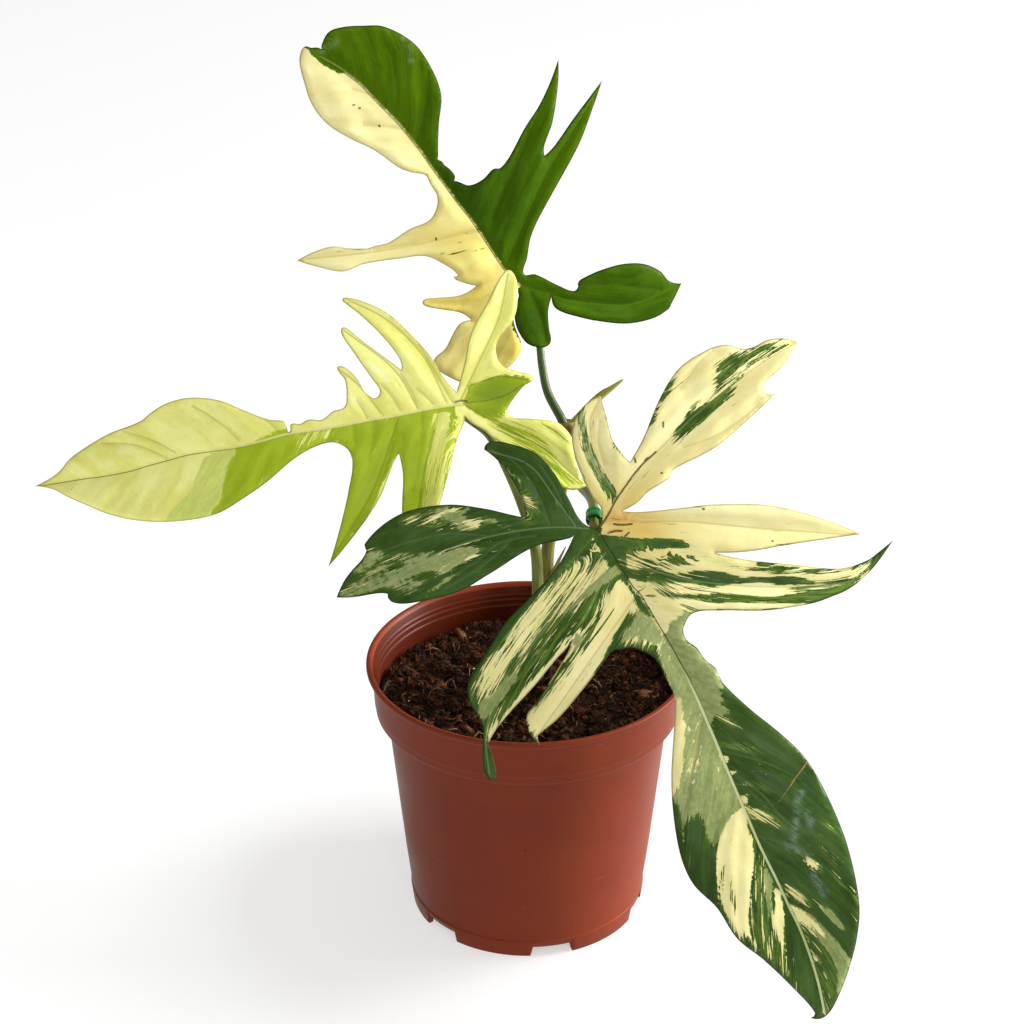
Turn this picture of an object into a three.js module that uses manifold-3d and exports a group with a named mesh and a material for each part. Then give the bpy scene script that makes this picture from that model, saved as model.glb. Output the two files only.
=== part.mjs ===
// Potted aroid house plant: three deeply cut leaves on one stem in a nursery pot.
// Millimetres, +Z up. The pot's axis is x = 0, y = 0 until the last step, which moves the
// whole plant so that the origin lies under the middle of its bounding box.
import * as THREE from 'three';
import { mergeVertices } from 'three/addons/utils/BufferGeometryUtils.js';
import Module from 'manifold-3d';

const wasm = await Module();
wasm.setup();

// Pot
const LIP_RADIUS = 60.6;
const POT_HEIGHT = 104.4;
const BASE_RADIUS = 44.3;
const BODY_TAPER = 0.105;
const WALL = 1.3;
const COLLAR_FOOT = 84.5;
const COLLAR_RADIUS = 57.4;
const COLLAR_BEVEL = 3.6;
const SKIRT_HEIGHT = 6.8;
const SKIRT_WALL = 1.9;
const FLOOR_HEIGHT = 5.4;
const FOOT_NOTCHES = 6;
const NOTCH_FIRST_DEG = -78;
const NOTCH_WIDTH_DEG = 20;
const NOTCH_HEIGHT = 4.2;
const DRAIN_HOLES = 6;
const DRAIN_CIRCLE = 29;
const DRAIN_RADIUS = 4.5;
const TURNED_SEGMENTS = 48;

// Soil
const SOIL_LEVEL = 90;
const SOIL_RELIEF = 1.7;
const SOIL_MOUND = 2.5;

// What touches keeps this gap
const GAP = 0.3;

// Leaves
const BLADE_THICKNESS = 0.9;
const PLAN_STEP = 8;
const MARGIN_STEP = 5.5;
const RIB_KEEL = 0.8;
const GUTTER_SLOPE = 0.22;
const GUTTER_WIDTH = 12;
const GUTTER_BLEND = 3;

// A leaf is laid out flat, in millimetres from the point where its stalk joins: u runs along the
// midrib to the tip, v across it. The flat plan is then set at its junction, faced by heading and
// lean (degrees), turned by roll, and bent: arch bends it back along u past its crest, droop bends
// both sides back, and each dent [u, v, reach, rise] presses one place in or out.
const TOP_LEAF = {
  junction: [-3, 14, 250.5],
  heading: 12,
  lean: 20,
  roll: -141.5,
  arch: 0.0044,
  crest: 50,
  droop: 0.003,
  dents: [],
  ribs: [
    [[0, 0], [9, 0], [35, -4], [54, -5], [77, -5], [95, -5], [111, 0]],
    [[24, -6], [32, -25], [40, -43], [48, -63]],
    [[10, -2], [23, -33], [28, -53], [32, -70]],
    [[26, -1], [36, 17], [46, 32], [61, 52]],
    [[0, 0], [-16, -9], [-26, -17], [-35, -26], [-40, -36], [-43, -45]],
    [[-3, -1], [-14, 2], [-24, 7]],
    [[4, 3], [8, 18], [19, 29]],
    [[0, 2], [-7, 16], [-13, 36]],
  ],
  margin: [
    // end lobe, with its notched tip, down the green side
    [110.5, 0, 'notch'], [110, -4], [111, -10.5], [109, -15], [105, -20], [99.5, -25.5], [89, -29],
    [79.5, -28], [69.5, -24], [63, -17], [57, -11], [54, -8.5], [50, -8], [44.5, -7.5],
    // two-pronged side lobe
    [39, -10], [37.5, -14.5], [37.5, -20], [36, -22], [36.5, -27], [40, -38], [42, -47], [45, -55.5],
    [49, -64, 'tip'], [43, -58], [35, -47.5], [30.5, -39], [28, -37, 'notch'], [28, -42], [30, -53],
    [31.5, -63.5], [32.5, -71, 'tip'], [28.5, -63], [22, -48.5], [14.5, -24.5], [10.5, -14.5],
    [5.5, -8], [2, -3.5],
    // spoon-shaped basal lobe
    [-1, -6.5], [-9.5, -10], [-16, -13.5], [-15.5, -17], [-17.5, -26.5], [-22, -34], [-27.5, -39.5],
    [-34, -42.5], [-39.5, -43], [-43.5, -45.5, 'tip'], [-45, -40.5], [-47.5, -37.5], [-45.5, -29.5],
    [-39.5, -21], [-30, -13], [-19, -6.5], [-14.5, -5],
    // small lobe that hangs beside the stalk
    [-11.5, -6, 'notch'], [-14.5, -1.5], [-21, 2.5], [-24.5, 4.5], [-24, 8.5], [-20, 10], [-14, 10],
    [-8, 7], [-3.5, 4],
    // basal lobe on the cream side
    [-1, 2, 'notch'], [-4, 6.5], [-8, 10], [-15, 13], [-18.5, 18], [-18.5, 26], [-15, 37, 'tip'],
    [-3, 42], [1.5, 41], [2, 35], [3.5, 31], [5, 25.5],
    // short finger and its small tooth
    [3, 21.5, 'notch'], [7.5, 22.5], [13, 26.5], [19.5, 29.5, 'tip'], [17.5, 25.5], [12.5, 18.5],
    [11, 12, 'notch'], [17.5, 16], [19.5, 16, 'tip'], [18.5, 14.5],
    // long cream finger
    [24.5, 15.5], [31.5, 18.5], [37, 25.5], [44.5, 36.5], [47.5, 43.5], [55, 49], [61, 52.5, 'tip'],
    [57, 40.5], [47.5, 30.5], [44, 25], [42.5, 16.5], [40, 9], [41.5, 4],
    // back up the cream side of the end lobe
    [45, 1], [48, -0.5], [52.5, -1], [60.5, 3.5], [70.5, 5.5], [79.5, 9], [88.5, 11.5], [97, 11],
    [105, 8], [110.5, 4.5], [113, 1], [112.5, -1.5],
  ],
};

const LEFT_LEAF = {
  junction: [-24, -24, 221.5],
  heading: -14,
  lean: 24,
  roll: -73.5,
  arch: 0.004,
  crest: 70,
  droop: 0.0026,
  dents: [],
  ribs: [
    [[0, 0], [27, 0], [53, 0], [83, 0], [116, 0], [149, 0], [164, 0]],
    [[4, 0], [10, -20], [20, -34], [33, -44]],
    [[14, 0], [20, -16], [35, -33]],
    [[26, 0], [33, -13], [39, -20]],
    [[0, -1], [-9, -14], [-18, -28], [-23, -42]],
    [[-4, -6], [-15, -7], [-24, -4]],
    [[-1, 0], [-14, 0], [-22, -3]],
    [[-1, 0], [-12, 10], [-24, 20], [-35, 35]],
    [[21, 0], [35, 24], [56, 47]],
    [[7, 0], [16, 20], [25, 46]],
  ],
  margin: [
    // end lobe, upper side
    [164.5, 0, 'tip'], [153, -2.5], [141, -9], [128.5, -13], [115, -15.5], [104.5, -20], [94.5, -20],
    [83, -17], [74, -11.5], [66.5, -6.5], [61.5, -4.5], [61, -1.5, 'notch'], [55, -3], [47.5, -3.5],
    [43, -5], [39, -6.5], [37.5, -11], [37.5, -16],
    // three upper fingers
    [39, -20.5, 'tip'], [34.5, -15.5], [31.5, -10.5], [28.5, -7.5, 'notch'], [26, -9.5], [28, -14.5],
    [32, -23], [35.5, -33.5, 'tip'], [29.5, -28.5], [23, -21.5], [17.5, -15.5, 'notch'],
    [17.5, -19.5], [20.5, -27.5], [27, -37], [33, -44, 'tip'], [26.5, -41.5], [19, -36],
    [12.5, -27.5], [7, -18.5], [3.5, -9.5],
    // upright basal lobe with its pale tooth
    [0.5, -4.5, 'notch'], [-4, -14], [-8, -24], [-15, -33.5], [-20.5, -41.5], [-23.5, -43.5],
    [-25.5, -40.5], [-25.5, -35], [-23, -26.5], [-16.5, -20], [-15, -16], [-16, -11], [-22, -7],
    [-25.5, -4, 'tip'], [-22.5, -2.5], [-19, 1.5],
    // basal lobe that points away from the tip
    [-14.5, 6, 'notch'], [-17, 8], [-23, 9.5], [-30.5, 12], [-32.5, 14], [-34.5, 18], [-34.5, 22],
    [-34.5, 29], [-36, 36, 'tip'], [-31, 36.5], [-26.5, 33], [-21.5, 25], [-15.5, 17], [-8.5, 10],
    [-1.5, 2.5, 'notch'],
    // two lower fingers
    [-0.5, 4.5], [4, 12], [9, 21.5], [15, 37], [20, 46], [25.5, 50, 'tip'], [27, 43], [26.5, 34],
    [23.5, 20.5], [23.5, 13, 'notch'], [26, 16], [33, 27], [43.5, 37.5], [56, 47.5, 'tip'], [49, 35],
    [43, 22.5], [40.5, 13], [42, 7],
    // end lobe, lower side
    [45.5, 5], [52.5, 5.5], [59.5, 9], [69, 15], [80, 19.5], [91, 22], [103, 22.5], [118, 20.5],
    [131.5, 15.5], [143.5, 9], [154.5, 3.5],
  ],
};

const FRONT_LEAF = {
  junction: [23, -64, 193.5],
  heading: 4,
  lean: 26,
  roll: 23.5,
  arch: 0.0044,
  crest: 65,
  droop: 0.0028,
  dents: [[55, -62, 28, -10]],
  ribs: [
    [[0, 0], [15, 2], [28, 4], [44, 5], [62, 6], [86, 7], [109, 4], [127, 5], [161, 5], [193, 2]],
    [[0, 0], [-6, 11], [-14, 27], [-18, 39], [-26, 71], [-27, 92]],
    [[-6, 11], [-23, 11], [-34, 15], [-39, 21]],
    [[0, 0], [-7, -14], [-12, -30], [-15, -48], [-15, -67], [-16, -90]],
    [[-4, -6], [-15, -8], [-29, -11], [-40, -22]],
    [[8, 1], [19, -23], [34, -49], [48, -64], [61, -69]],
    [[25, 4], [39, -21], [56, -49]],
    [[-1, 2], [10, 27], [24, 51], [41, 81]],
    [[12, 2], [29, 21], [46, 51], [54, 75], [48, 91]],
  ],
  margin: [
    // end lobe, right side
    [194.5, 2, 'tip'], [191, 6.5], [180, 16], [168, 23.5], [158, 28], [144, 31], [130.5, 32.5],
    [115, 32.5], [101.5, 31], [90.5, 27], [77, 20.5], [61.5, 15.5], [52.5, 12], [48, 11],
    [42.5, 12], [39.5, 17],
    // striped right finger with its hair tip
    [43, 26.5], [49.5, 40], [55, 55.5], [56.5, 68], [53, 81.5], [48, 91.5, 'tip'], [50, 80],
    [48, 69.5], [40, 56], [31.5, 42], [24.5, 33, 'notch'],
    // cream right finger
    [29, 43.5], [32.5, 55.5], [38.5, 74.5], [41, 82, 'tip'], [28, 69.5], [17.5, 56], [9, 39.5],
    [2, 22], [-2, 10.5, 'notch'],
    // cream basal lobe
    [-2, 17], [-5, 23], [-5.5, 30], [-6, 38.5], [-6.5, 51.5], [-10.5, 66.5], [-15, 77],
    [-17.5, 74, 'notch'], [-20, 76], [-22, 83.5], [-27.5, 93, 'tip'], [-33, 83.5], [-34.5, 74],
    [-38.5, 63], [-37.5, 51], [-30.5, 38.5], [-21.5, 28.5], [-15.5, 20.5, 'notch'], [-23, 19.5],
    [-33.5, 20.5], [-40, 22, 'tip'], [-39, 14], [-34, 8], [-26, 4.5], [-16.5, 3.5], [-5, 5.5],
    // dark basal lobe on the left, with its upper lobe first
    [0, 0, 'notch'], [-4.5, -3.5], [-13.5, -4], [-23, -4.5], [-31.5, -7], [-38, -13], [-42, -19.5],
    [-40.5, -22.5, 'tip'], [-33.5, -19.5], [-25.5, -18.5], [-19, -18.5], [-13.5, -20, 'notch'],
    [-16.5, -24], [-22, -31], [-28.5, -41.5], [-32.5, -55], [-32, -65], [-28.5, -74], [-26, -75.5],
    [-22.5, -83], [-16, -90.5, 'tip'], [-13.5, -86], [-11.5, -77], [-10, -74, 'notch'], [-7, -74],
    [-4, -68.5], [-0.5, -53.5], [-2, -38], [-3.5, -22], [-1, -9.5],
    // broad left finger with its rolled tail
    [-1.5, -7.5, 'notch'], [3.5, -17.5], [7, -27], [14.5, -43], [23.5, -57], [29, -62.5],
    [35.5, -64.5], [42, -64.5], [46, -65.5], [52, -68.5], [60, -71], [63, -69.5], [61.5, -67],
    [54, -65.5], [50, -63, 'notch'], [46, -53], [40, -41.5], [34, -31],
    // second left finger
    [31.5, -25, 'notch'], [34.5, -28.5], [40.5, -37.5], [45.5, -45], [48, -49], [53, -50.5],
    [58, -49.5, 'tip'], [56, -46], [54, -38.5], [48.5, -28], [40.5, -15],
    // back down the left side of the end lobe
    [39, -13, 'notch'], [40, -10.5], [41, -7], [45, -3], [49.5, -1], [55.5, -1], [62.5, -1],
    [72.5, -6], [85.5, -13], [99.5, -18.5], [113.5, -22], [124.5, -22], [136, -18], [149.5, -16],
    [161.5, -10.5], [176.5, -5],
  ],
};

// Stem and stalks: the points each one passes through
const STEM_FOOT = 68;
const STEM_RADIUS = 2.3;
const STEM_PATH = [
  [6, 1, STEM_FOOT], [6.8, 0.5, 100], [7.1, 0, 134], [7.4, 0, 152], [10.9, 0, 171], [13.6, 0, 185],
  [14.2, 0, 203],
];
const STEM_NODES = [0.3, 0.5, 0.68, 0.86, 0.985];
const NODE_SWELL = 0.5;
const NODE_LENGTH = 0.018;

const LEFT_STALK_FOOT = 74;
const LEFT_STALK_PATH = [
  [3.2, -6.5, LEFT_STALK_FOOT], [3.4, -6, 100], [3.6, -5.5, 136], [2.6, -6, 154.5], [-2.3, -10.5, 175],
  [-8.4, -15.5, 193.5], [-14.7, -19.8, 208.5],
];
const TOP_STALK_PATH = [
  [14, 0, 199], [11.6, 1, 204.3], [7, 5, 212.2], [5, 9.5, 219.5], [4, 13, 226.5], [2.4, 16, 236.5],
  [-0.4, 17, 244.5],
];
const FRONT_STALK_PATH = [
  [13.4, 0, 181.5], [16.5, -5, 183], [19.4, -18, 185.6], [21.6, -32, 189.4], [22.4, -43, 191.8],
  [22.4, -53, 192.9], [22.6, -60.5, 192],
];
const NEW_LEAF_PATH = [
  [14.2, 0, 201], [17.5, 2, 203], [21.5, 4, 206.5], [26.1, 7, 210], [30.2, 9, 212.4], [34.2, 11, 214.7],
];
const SHEATH_PATH = [[7, -0.5, 132], [8.6, -3, 139], [9.7, -4.4, 144], [11.3, -5.4, 149.2], [13.8, -6.2, 155.5]];

const TIE_RADIUS = 2.9;
const TIE_WALL = 0.75;
const TIE_LENGTH = 5;
const TIE_AT = 0.83;
const TIE_TAB = 3.2;

function colour(red, green, blue) {
  return new THREE.Color().setRGB(red / 255, green / 255, blue / 255, THREE.SRGBColorSpace);
}

function finish(shade, roughness) {
  return new THREE.MeshStandardMaterial({ color: shade, roughness, metalness: 0 });
}

const TERRACOTTA = finish(colour(150, 68, 46), 0.5);
const PEAT = finish(colour(52, 34, 26), 0.95);
const CREAM_GREEN = finish(colour(196, 196, 118), 0.4);
const LIME = finish(colour(196, 208, 84), 0.4);
const DARK_GREEN = finish(colour(66, 98, 52), 0.35);
const STALK_GREEN = finish(colour(62, 84, 44), 0.45);
const STALK_OLIVE = finish(colour(112, 112, 48), 0.45);
const STEM_OLIVE = finish(colour(118, 106, 52), 0.5);
const DRY_OLIVE = finish(colour(132, 122, 62), 0.7);
const TIE_GREEN = finish(colour(20, 108, 52), 0.35);

// A closed mesh from corner positions and triangles
function meshOf(positions, triangles) {
  const geometry = new THREE.BufferGeometry();
  geometry.setAttribute('position', new THREE.Float32BufferAttribute(positions, 3));
  geometry.setIndex(triangles);
  return geometry;
}

// Solid for joins and cuts, with shared corners merged and collapsed triangles dropped
function toSolid(geometry) {
  const bare = geometry.clone();
  bare.deleteAttribute('normal');
  bare.deleteAttribute('uv');
  const merged = mergeVertices(bare, 1e-4);
  const corners = merged.index.array;
  const kept = [];
  for (let i = 0; i < corners.length; i += 3) {
    const [a, b, c] = corners.slice(i, i + 3);
    if (a !== b && b !== c && c !== a) kept.push(a, b, c);
  }
  const mesh = new wasm.Mesh({
    numProp: 3,
    vertProperties: new Float32Array(merged.attributes.position.array),
    triVerts: new Uint32Array(kept),
  });
  return new wasm.Manifold(mesh);
}

function toGeometry(solid) {
  const mesh = solid.getMesh();
  return meshOf(Array.from(mesh.vertProperties), Array.from(mesh.triVerts));
}

// The largest of the bodies that a cut leaves
function mainBody(solid) {
  const bodies = solid.decompose();
  bodies.sort((one, other) => other.volume() - one.volume());
  return bodies[0];
}

// A turned body: profile points are [radius, height], from the axis round to the axis
function turned(profile) {
  const points = profile.map(([radius, height]) => new THREE.Vector2(radius, height));
  return new THREE.LatheGeometry(points, TURNED_SEGMENTS).rotateX(Math.PI / 2);
}

// A round limb along a smooth curve. radiusAt gives the radius for 0 (foot) to 1 (end).
function limb(path, radiusAt, sides = 10, steps = 26) {
  const curve = new THREE.CatmullRomCurve3(path.map((point) => new THREE.Vector3(...point)));
  const frames = curve.computeFrenetFrames(steps, false);
  const positions = [];
  const triangles = [];
  for (let i = 0; i <= steps; i += 1) {
    const centre = curve.getPointAt(i / steps);
    const radius = radiusAt(i / steps);
    for (let j = 0; j < sides; j += 1) {
      const angle = (2 * Math.PI * j) / sides;
      const corner = centre.clone();
      corner.addScaledVector(frames.normals[i], radius * Math.cos(angle));
      corner.addScaledVector(frames.binormals[i], radius * Math.sin(angle));
      positions.push(corner.x, corner.y, corner.z);
    }
  }
  for (let i = 0; i < steps; i += 1) {
    for (let j = 0; j < sides; j += 1) {
      const a = i * sides + j;
      const b = i * sides + ((j + 1) % sides);
      triangles.push(a, b, a + sides, b, b + sides, a + sides);
    }
  }
  const foot = (steps + 1) * sides;
  positions.push(...curve.getPointAt(0).toArray(), ...curve.getPointAt(1).toArray());
  for (let j = 0; j < sides; j += 1) {
    const next = (j + 1) % sides;
    triangles.push(foot, next, j);
    triangles.push(foot + 1, steps * sides + j, steps * sides + next);
  }
  return meshOf(positions, triangles);
}

// Taper from the foot's radius to the end's, with the last part rounded off to a point if asked
function taper(atFoot, atEnd, pointed = 0) {
  return (t) => {
    const radius = THREE.MathUtils.lerp(atFoot, atEnd, t);
    if (t <= 1 - pointed) return radius;
    const left = (1 - t) / pointed;
    return Math.max(0.25, radius * Math.sqrt(left));
  };
}

// Leaf frame: facing direction, and the plan's u and v directions
function leafAxes(leaf) {
  const heading = THREE.MathUtils.degToRad(leaf.heading);
  const lean = THREE.MathUtils.degToRad(leaf.lean);
  const roll = THREE.MathUtils.degToRad(leaf.roll);
  const facing = new THREE.Vector3(
    Math.sin(heading) * Math.cos(lean),
    -Math.cos(heading) * Math.cos(lean),
    Math.sin(lean),
  );
  const level = new THREE.Vector3(Math.cos(heading), Math.sin(heading), 0);
  const upward = new THREE.Vector3().crossVectors(facing, level);
  const along = level.clone().multiplyScalar(Math.sin(roll)).addScaledVector(upward, -Math.cos(roll));
  const across = new THREE.Vector3().crossVectors(facing, along);
  return { facing, along, across };
}

function distanceToSegment(u, v, [au, av], [bu, bv]) {
  const du = bu - au;
  const dv = bv - av;
  const t = THREE.MathUtils.clamp(((u - au) * du + (v - av) * dv) / (du * du + dv * dv), 0, 1);
  return Math.hypot(u - au - t * du, v - av - t * dv);
}

function distanceToLine(u, v, line) {
  let nearest = Infinity;
  for (let i = 1; i < line.length; i += 1) {
    nearest = Math.min(nearest, distanceToSegment(u, v, line[i - 1], line[i]));
  }
  return nearest;
}

// The blade rises from every rib like the sides of a shallow gutter
function gutter(leaf, u, v) {
  let sum = 0;
  for (const rib of leaf.ribs) sum += Math.exp(-distanceToLine(u, v, rib) / GUTTER_BLEND);
  const blended = Math.max(0, -GUTTER_BLEND * Math.log(sum));
  const away = Math.hypot(blended, 1) - 1;
  return GUTTER_SLOPE * GUTTER_WIDTH * (1 - Math.exp(-away / GUTTER_WIDTH));
}

function relief(leaf, u, v) {
  let rise = leaf.arch * (leaf.crest * u - (u * u) / 2) - (leaf.droop * v * v) / 2;
  for (const [du, dv, reach, depth] of leaf.dents) {
    rise += depth * Math.exp(-((u - du) ** 2 + (v - dv) ** 2) / reach ** 2);
  }
  return rise + gutter(leaf, u, v);
}

// A point of the blade in space, offset along the blade's own normal
function onLeaf(leaf, u, v, offset) {
  const { facing, along, across } = leafAxes(leaf);
  const small = 0.5;
  const slopeU = (relief(leaf, u + small, v) - relief(leaf, u - small, v)) / (2 * small);
  const slopeV = (relief(leaf, u, v + small) - relief(leaf, u, v - small)) / (2 * small);
  const normal = facing.clone().addScaledVector(along, -slopeU).addScaledVector(across, -slopeV);
  normal.normalize();
  return new THREE.Vector3(...leaf.junction)
    .addScaledVector(along, u)
    .addScaledVector(across, v)
    .addScaledVector(facing, relief(leaf, u, v))
    .addScaledVector(normal, offset);
}

// The margin as a smooth closed curve through its points, sharp at each tip and notch
function marginPoints(margin) {
  const count = margin.length;
  const direction = (i) => {
    if (margin[i][2]) return null;
    const [u0, v0] = margin[(i + count - 1) % count];
    const [u1, v1] = margin[(i + 1) % count];
    return new THREE.Vector2(u1 - u0, v1 - v0).normalize();
  };
  const points = [];
  for (let i = 0; i < count; i += 1) {
    const next = (i + 1) % count;
    const from = new THREE.Vector2(margin[i][0], margin[i][1]);
    const to = new THREE.Vector2(margin[next][0], margin[next][1]);
    const chord = to.clone().sub(from);
    const length = chord.length();
    const straight = chord.normalize();
    const leave = direction(i);
    const arrive = direction(next);
    const mirrored = (other) => straight.clone().multiplyScalar(2 * straight.dot(other)).sub(other);
    const start = leave ?? (arrive ? mirrored(arrive) : straight);
    const end = arrive ?? (leave ? mirrored(leave) : straight);
    const first = from.clone().addScaledVector(start, length / 3);
    const second = to.clone().addScaledVector(end, -length / 3);
    const curve = new THREE.CubicBezierCurve(from, first, second, to);
    const pieces = Math.max(1, Math.round(length / MARGIN_STEP));
    for (let k = 0; k < pieces; k += 1) points.push(curve.getPoint(k / pieces).toArray());
  }
  return points;
}

function insidePlan(outline, u, v) {
  let inside = false;
  for (let i = 0, j = outline.length - 1; i < outline.length; j = i, i += 1) {
    const [ui, vi] = outline[i];
    const [uj, vj] = outline[j];
    if ((vi > v) !== (vj > v) && u < ((uj - ui) * (v - vi)) / (vj - vi) + ui) inside = !inside;
  }
  return inside;
}

function distanceToPoints(u, v, points) {
  let nearest = Infinity;
  for (const [pu, pv] of points) nearest = Math.min(nearest, Math.hypot(u - pu, v - pv));
  return nearest;
}

// Points inside the blade: along every rib, then on a triangular grid between them
function innerPoints(outline, ribs) {
  const kept = [];
  const offer = (u, v, clearOfMargin, clearOfKept) => {
    if (!insidePlan(outline, u, v)) return;
    if (distanceToLine(u, v, [...outline, outline[0]]) < clearOfMargin) return;
    if (distanceToPoints(u, v, kept) < clearOfKept) return;
    kept.push([u, v]);
  };
  for (const rib of ribs) {
    for (let i = 1; i < rib.length; i += 1) {
      const [au, av] = rib[i - 1];
      const [bu, bv] = rib[i];
      const pieces = Math.max(1, Math.round(Math.hypot(bu - au, bv - av) / PLAN_STEP));
      for (let k = 0; k <= pieces; k += 1) {
        offer(au + ((bu - au) * k) / pieces, av + ((bv - av) * k) / pieces, 1.1, PLAN_STEP * 0.6);
      }
    }
  }
  const rowStep = PLAN_STEP * Math.sin(Math.PI / 3);
  for (let row = -14; row * rowStep < 110; row += 1) {
    for (let column = -8; column * PLAN_STEP < 210; column += 1) {
      const shift = row % 2 === 0 ? 0.137 : 0.637;
      offer((column + shift) * PLAN_STEP, row * rowStep, PLAN_STEP * 0.38, PLAN_STEP * 0.7);
    }
  }
  return kept;
}

// Triangulation in which no point lies in another triangle's circle
function delaunay(points) {
  const all = [...points, [-5000, -5000], [5000, -5000], [0, 7000]];
  const circle = (a, b, c) => {
    const [ax, ay] = all[a];
    const [bx, by] = all[b];
    const [cx, cy] = all[c];
    const twice = 2 * ((bx - ax) * (cy - ay) - (by - ay) * (cx - ax));
    const b2 = (bx - ax) ** 2 + (by - ay) ** 2;
    const c2 = (cx - ax) ** 2 + (cy - ay) ** 2;
    const x = ((cy - ay) * b2 - (by - ay) * c2) / twice;
    const y = ((bx - ax) * c2 - (cx - ax) * b2) / twice;
    return { corners: [a, b, c], x: ax + x, y: ay + y, reach: x * x + y * y };
  };
  let triangles = [circle(points.length, points.length + 1, points.length + 2)];
  for (let p = 0; p < points.length; p += 1) {
    const [x, y] = points[p];
    const rim = new Map();
    const kept = [];
    for (const triangle of triangles) {
      if ((x - triangle.x) ** 2 + (y - triangle.y) ** 2 >= triangle.reach) {
        kept.push(triangle);
        continue;
      }
      const [a, b, c] = triangle.corners;
      for (const [from, to] of [[a, b], [b, c], [c, a]]) {
        if (!rim.delete(`${to}:${from}`)) rim.set(`${from}:${to}`, [from, to]);
      }
    }
    for (const [from, to] of rim.values()) kept.push(circle(from, to, p));
    triangles = kept;
  }
  return triangles.map((triangle) => triangle.corners).filter((corners) => Math.max(...corners) < points.length);
}

// The plan split into triangles that follow the margin. A margin edge that the triangles miss
// gets a point at its middle, and the plan is split again.
function splitPlan(leaf) {
  let outline = marginPoints(leaf.margin);
  const inner = innerPoints(outline, leaf.ribs);
  for (let round = 0; round < 8; round += 1) {
    const points = [...outline, ...inner];
    const triangles = delaunay(points).filter((corners) => {
      const u = (points[corners[0]][0] + points[corners[1]][0] + points[corners[2]][0]) / 3;
      const v = (points[corners[0]][1] + points[corners[1]][1] + points[corners[2]][1]) / 3;
      return insidePlan(outline, u, v);
    });
    const edges = new Set();
    for (const [a, b, c] of triangles) {
      for (const [from, to] of [[a, b], [b, c], [c, a]]) edges.add(`${from}:${to}`);
    }
    const count = outline.length;
    const denser = [];
    for (let i = 0; i < count; i += 1) {
      const next = (i + 1) % count;
      denser.push(outline[i]);
      if (!edges.has(`${i}:${next}`) && !edges.has(`${next}:${i}`)) {
        denser.push([(outline[i][0] + outline[next][0]) / 2, (outline[i][1] + outline[next][1]) / 2]);
      }
    }
    if (denser.length === count) return { points, triangles, count };
    outline = denser;
  }
  throw new Error('the margin could not be followed');
}

// A blade of even thickness, with a low keel under its ribs. grow thickens it for a cut.
function bladeGeometry(leaf, grow = 0) {
  const { points, triangles, count } = splitPlan(leaf);
  const half = BLADE_THICKNESS / 2 + grow;
  const positions = [];
  for (const side of [1, -1]) {
    for (const [u, v] of points) {
      const rib = Math.min(...leaf.ribs.map((line) => distanceToLine(u, v, line)));
      const keel = side < 0 && rib < 0.2 ? RIB_KEEL : 0;
      positions.push(...onLeaf(leaf, u, v, side * (half + keel)).toArray());
    }
  }
  const faces = [];
  const edges = new Map();
  for (const [a, b, c] of triangles) {
    const turn = (points[b][0] - points[a][0]) * (points[c][1] - points[a][1])
      - (points[b][1] - points[a][1]) * (points[c][0] - points[a][0]);
    const [first, second, third] = turn > 0 ? [a, b, c] : [a, c, b];
    faces.push(first, second, third);
    faces.push(first + points.length, third + points.length, second + points.length);
    for (const [from, to] of [[first, second], [second, third], [third, first]]) {
      if (!edges.delete(`${to}:${from}`)) edges.set(`${from}:${to}`, [from, to]);
    }
  }
  for (const [from, to] of edges.values()) {
    faces.push(from, from + points.length, to);
    faces.push(to, from + points.length, to + points.length);
  }
  if (edges.size !== count) throw new Error('the blade has a hole');
  return meshOf(positions, faces);
}

function bodyRadius(height) {
  return BASE_RADIUS + BODY_TAPER * height;
}

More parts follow.
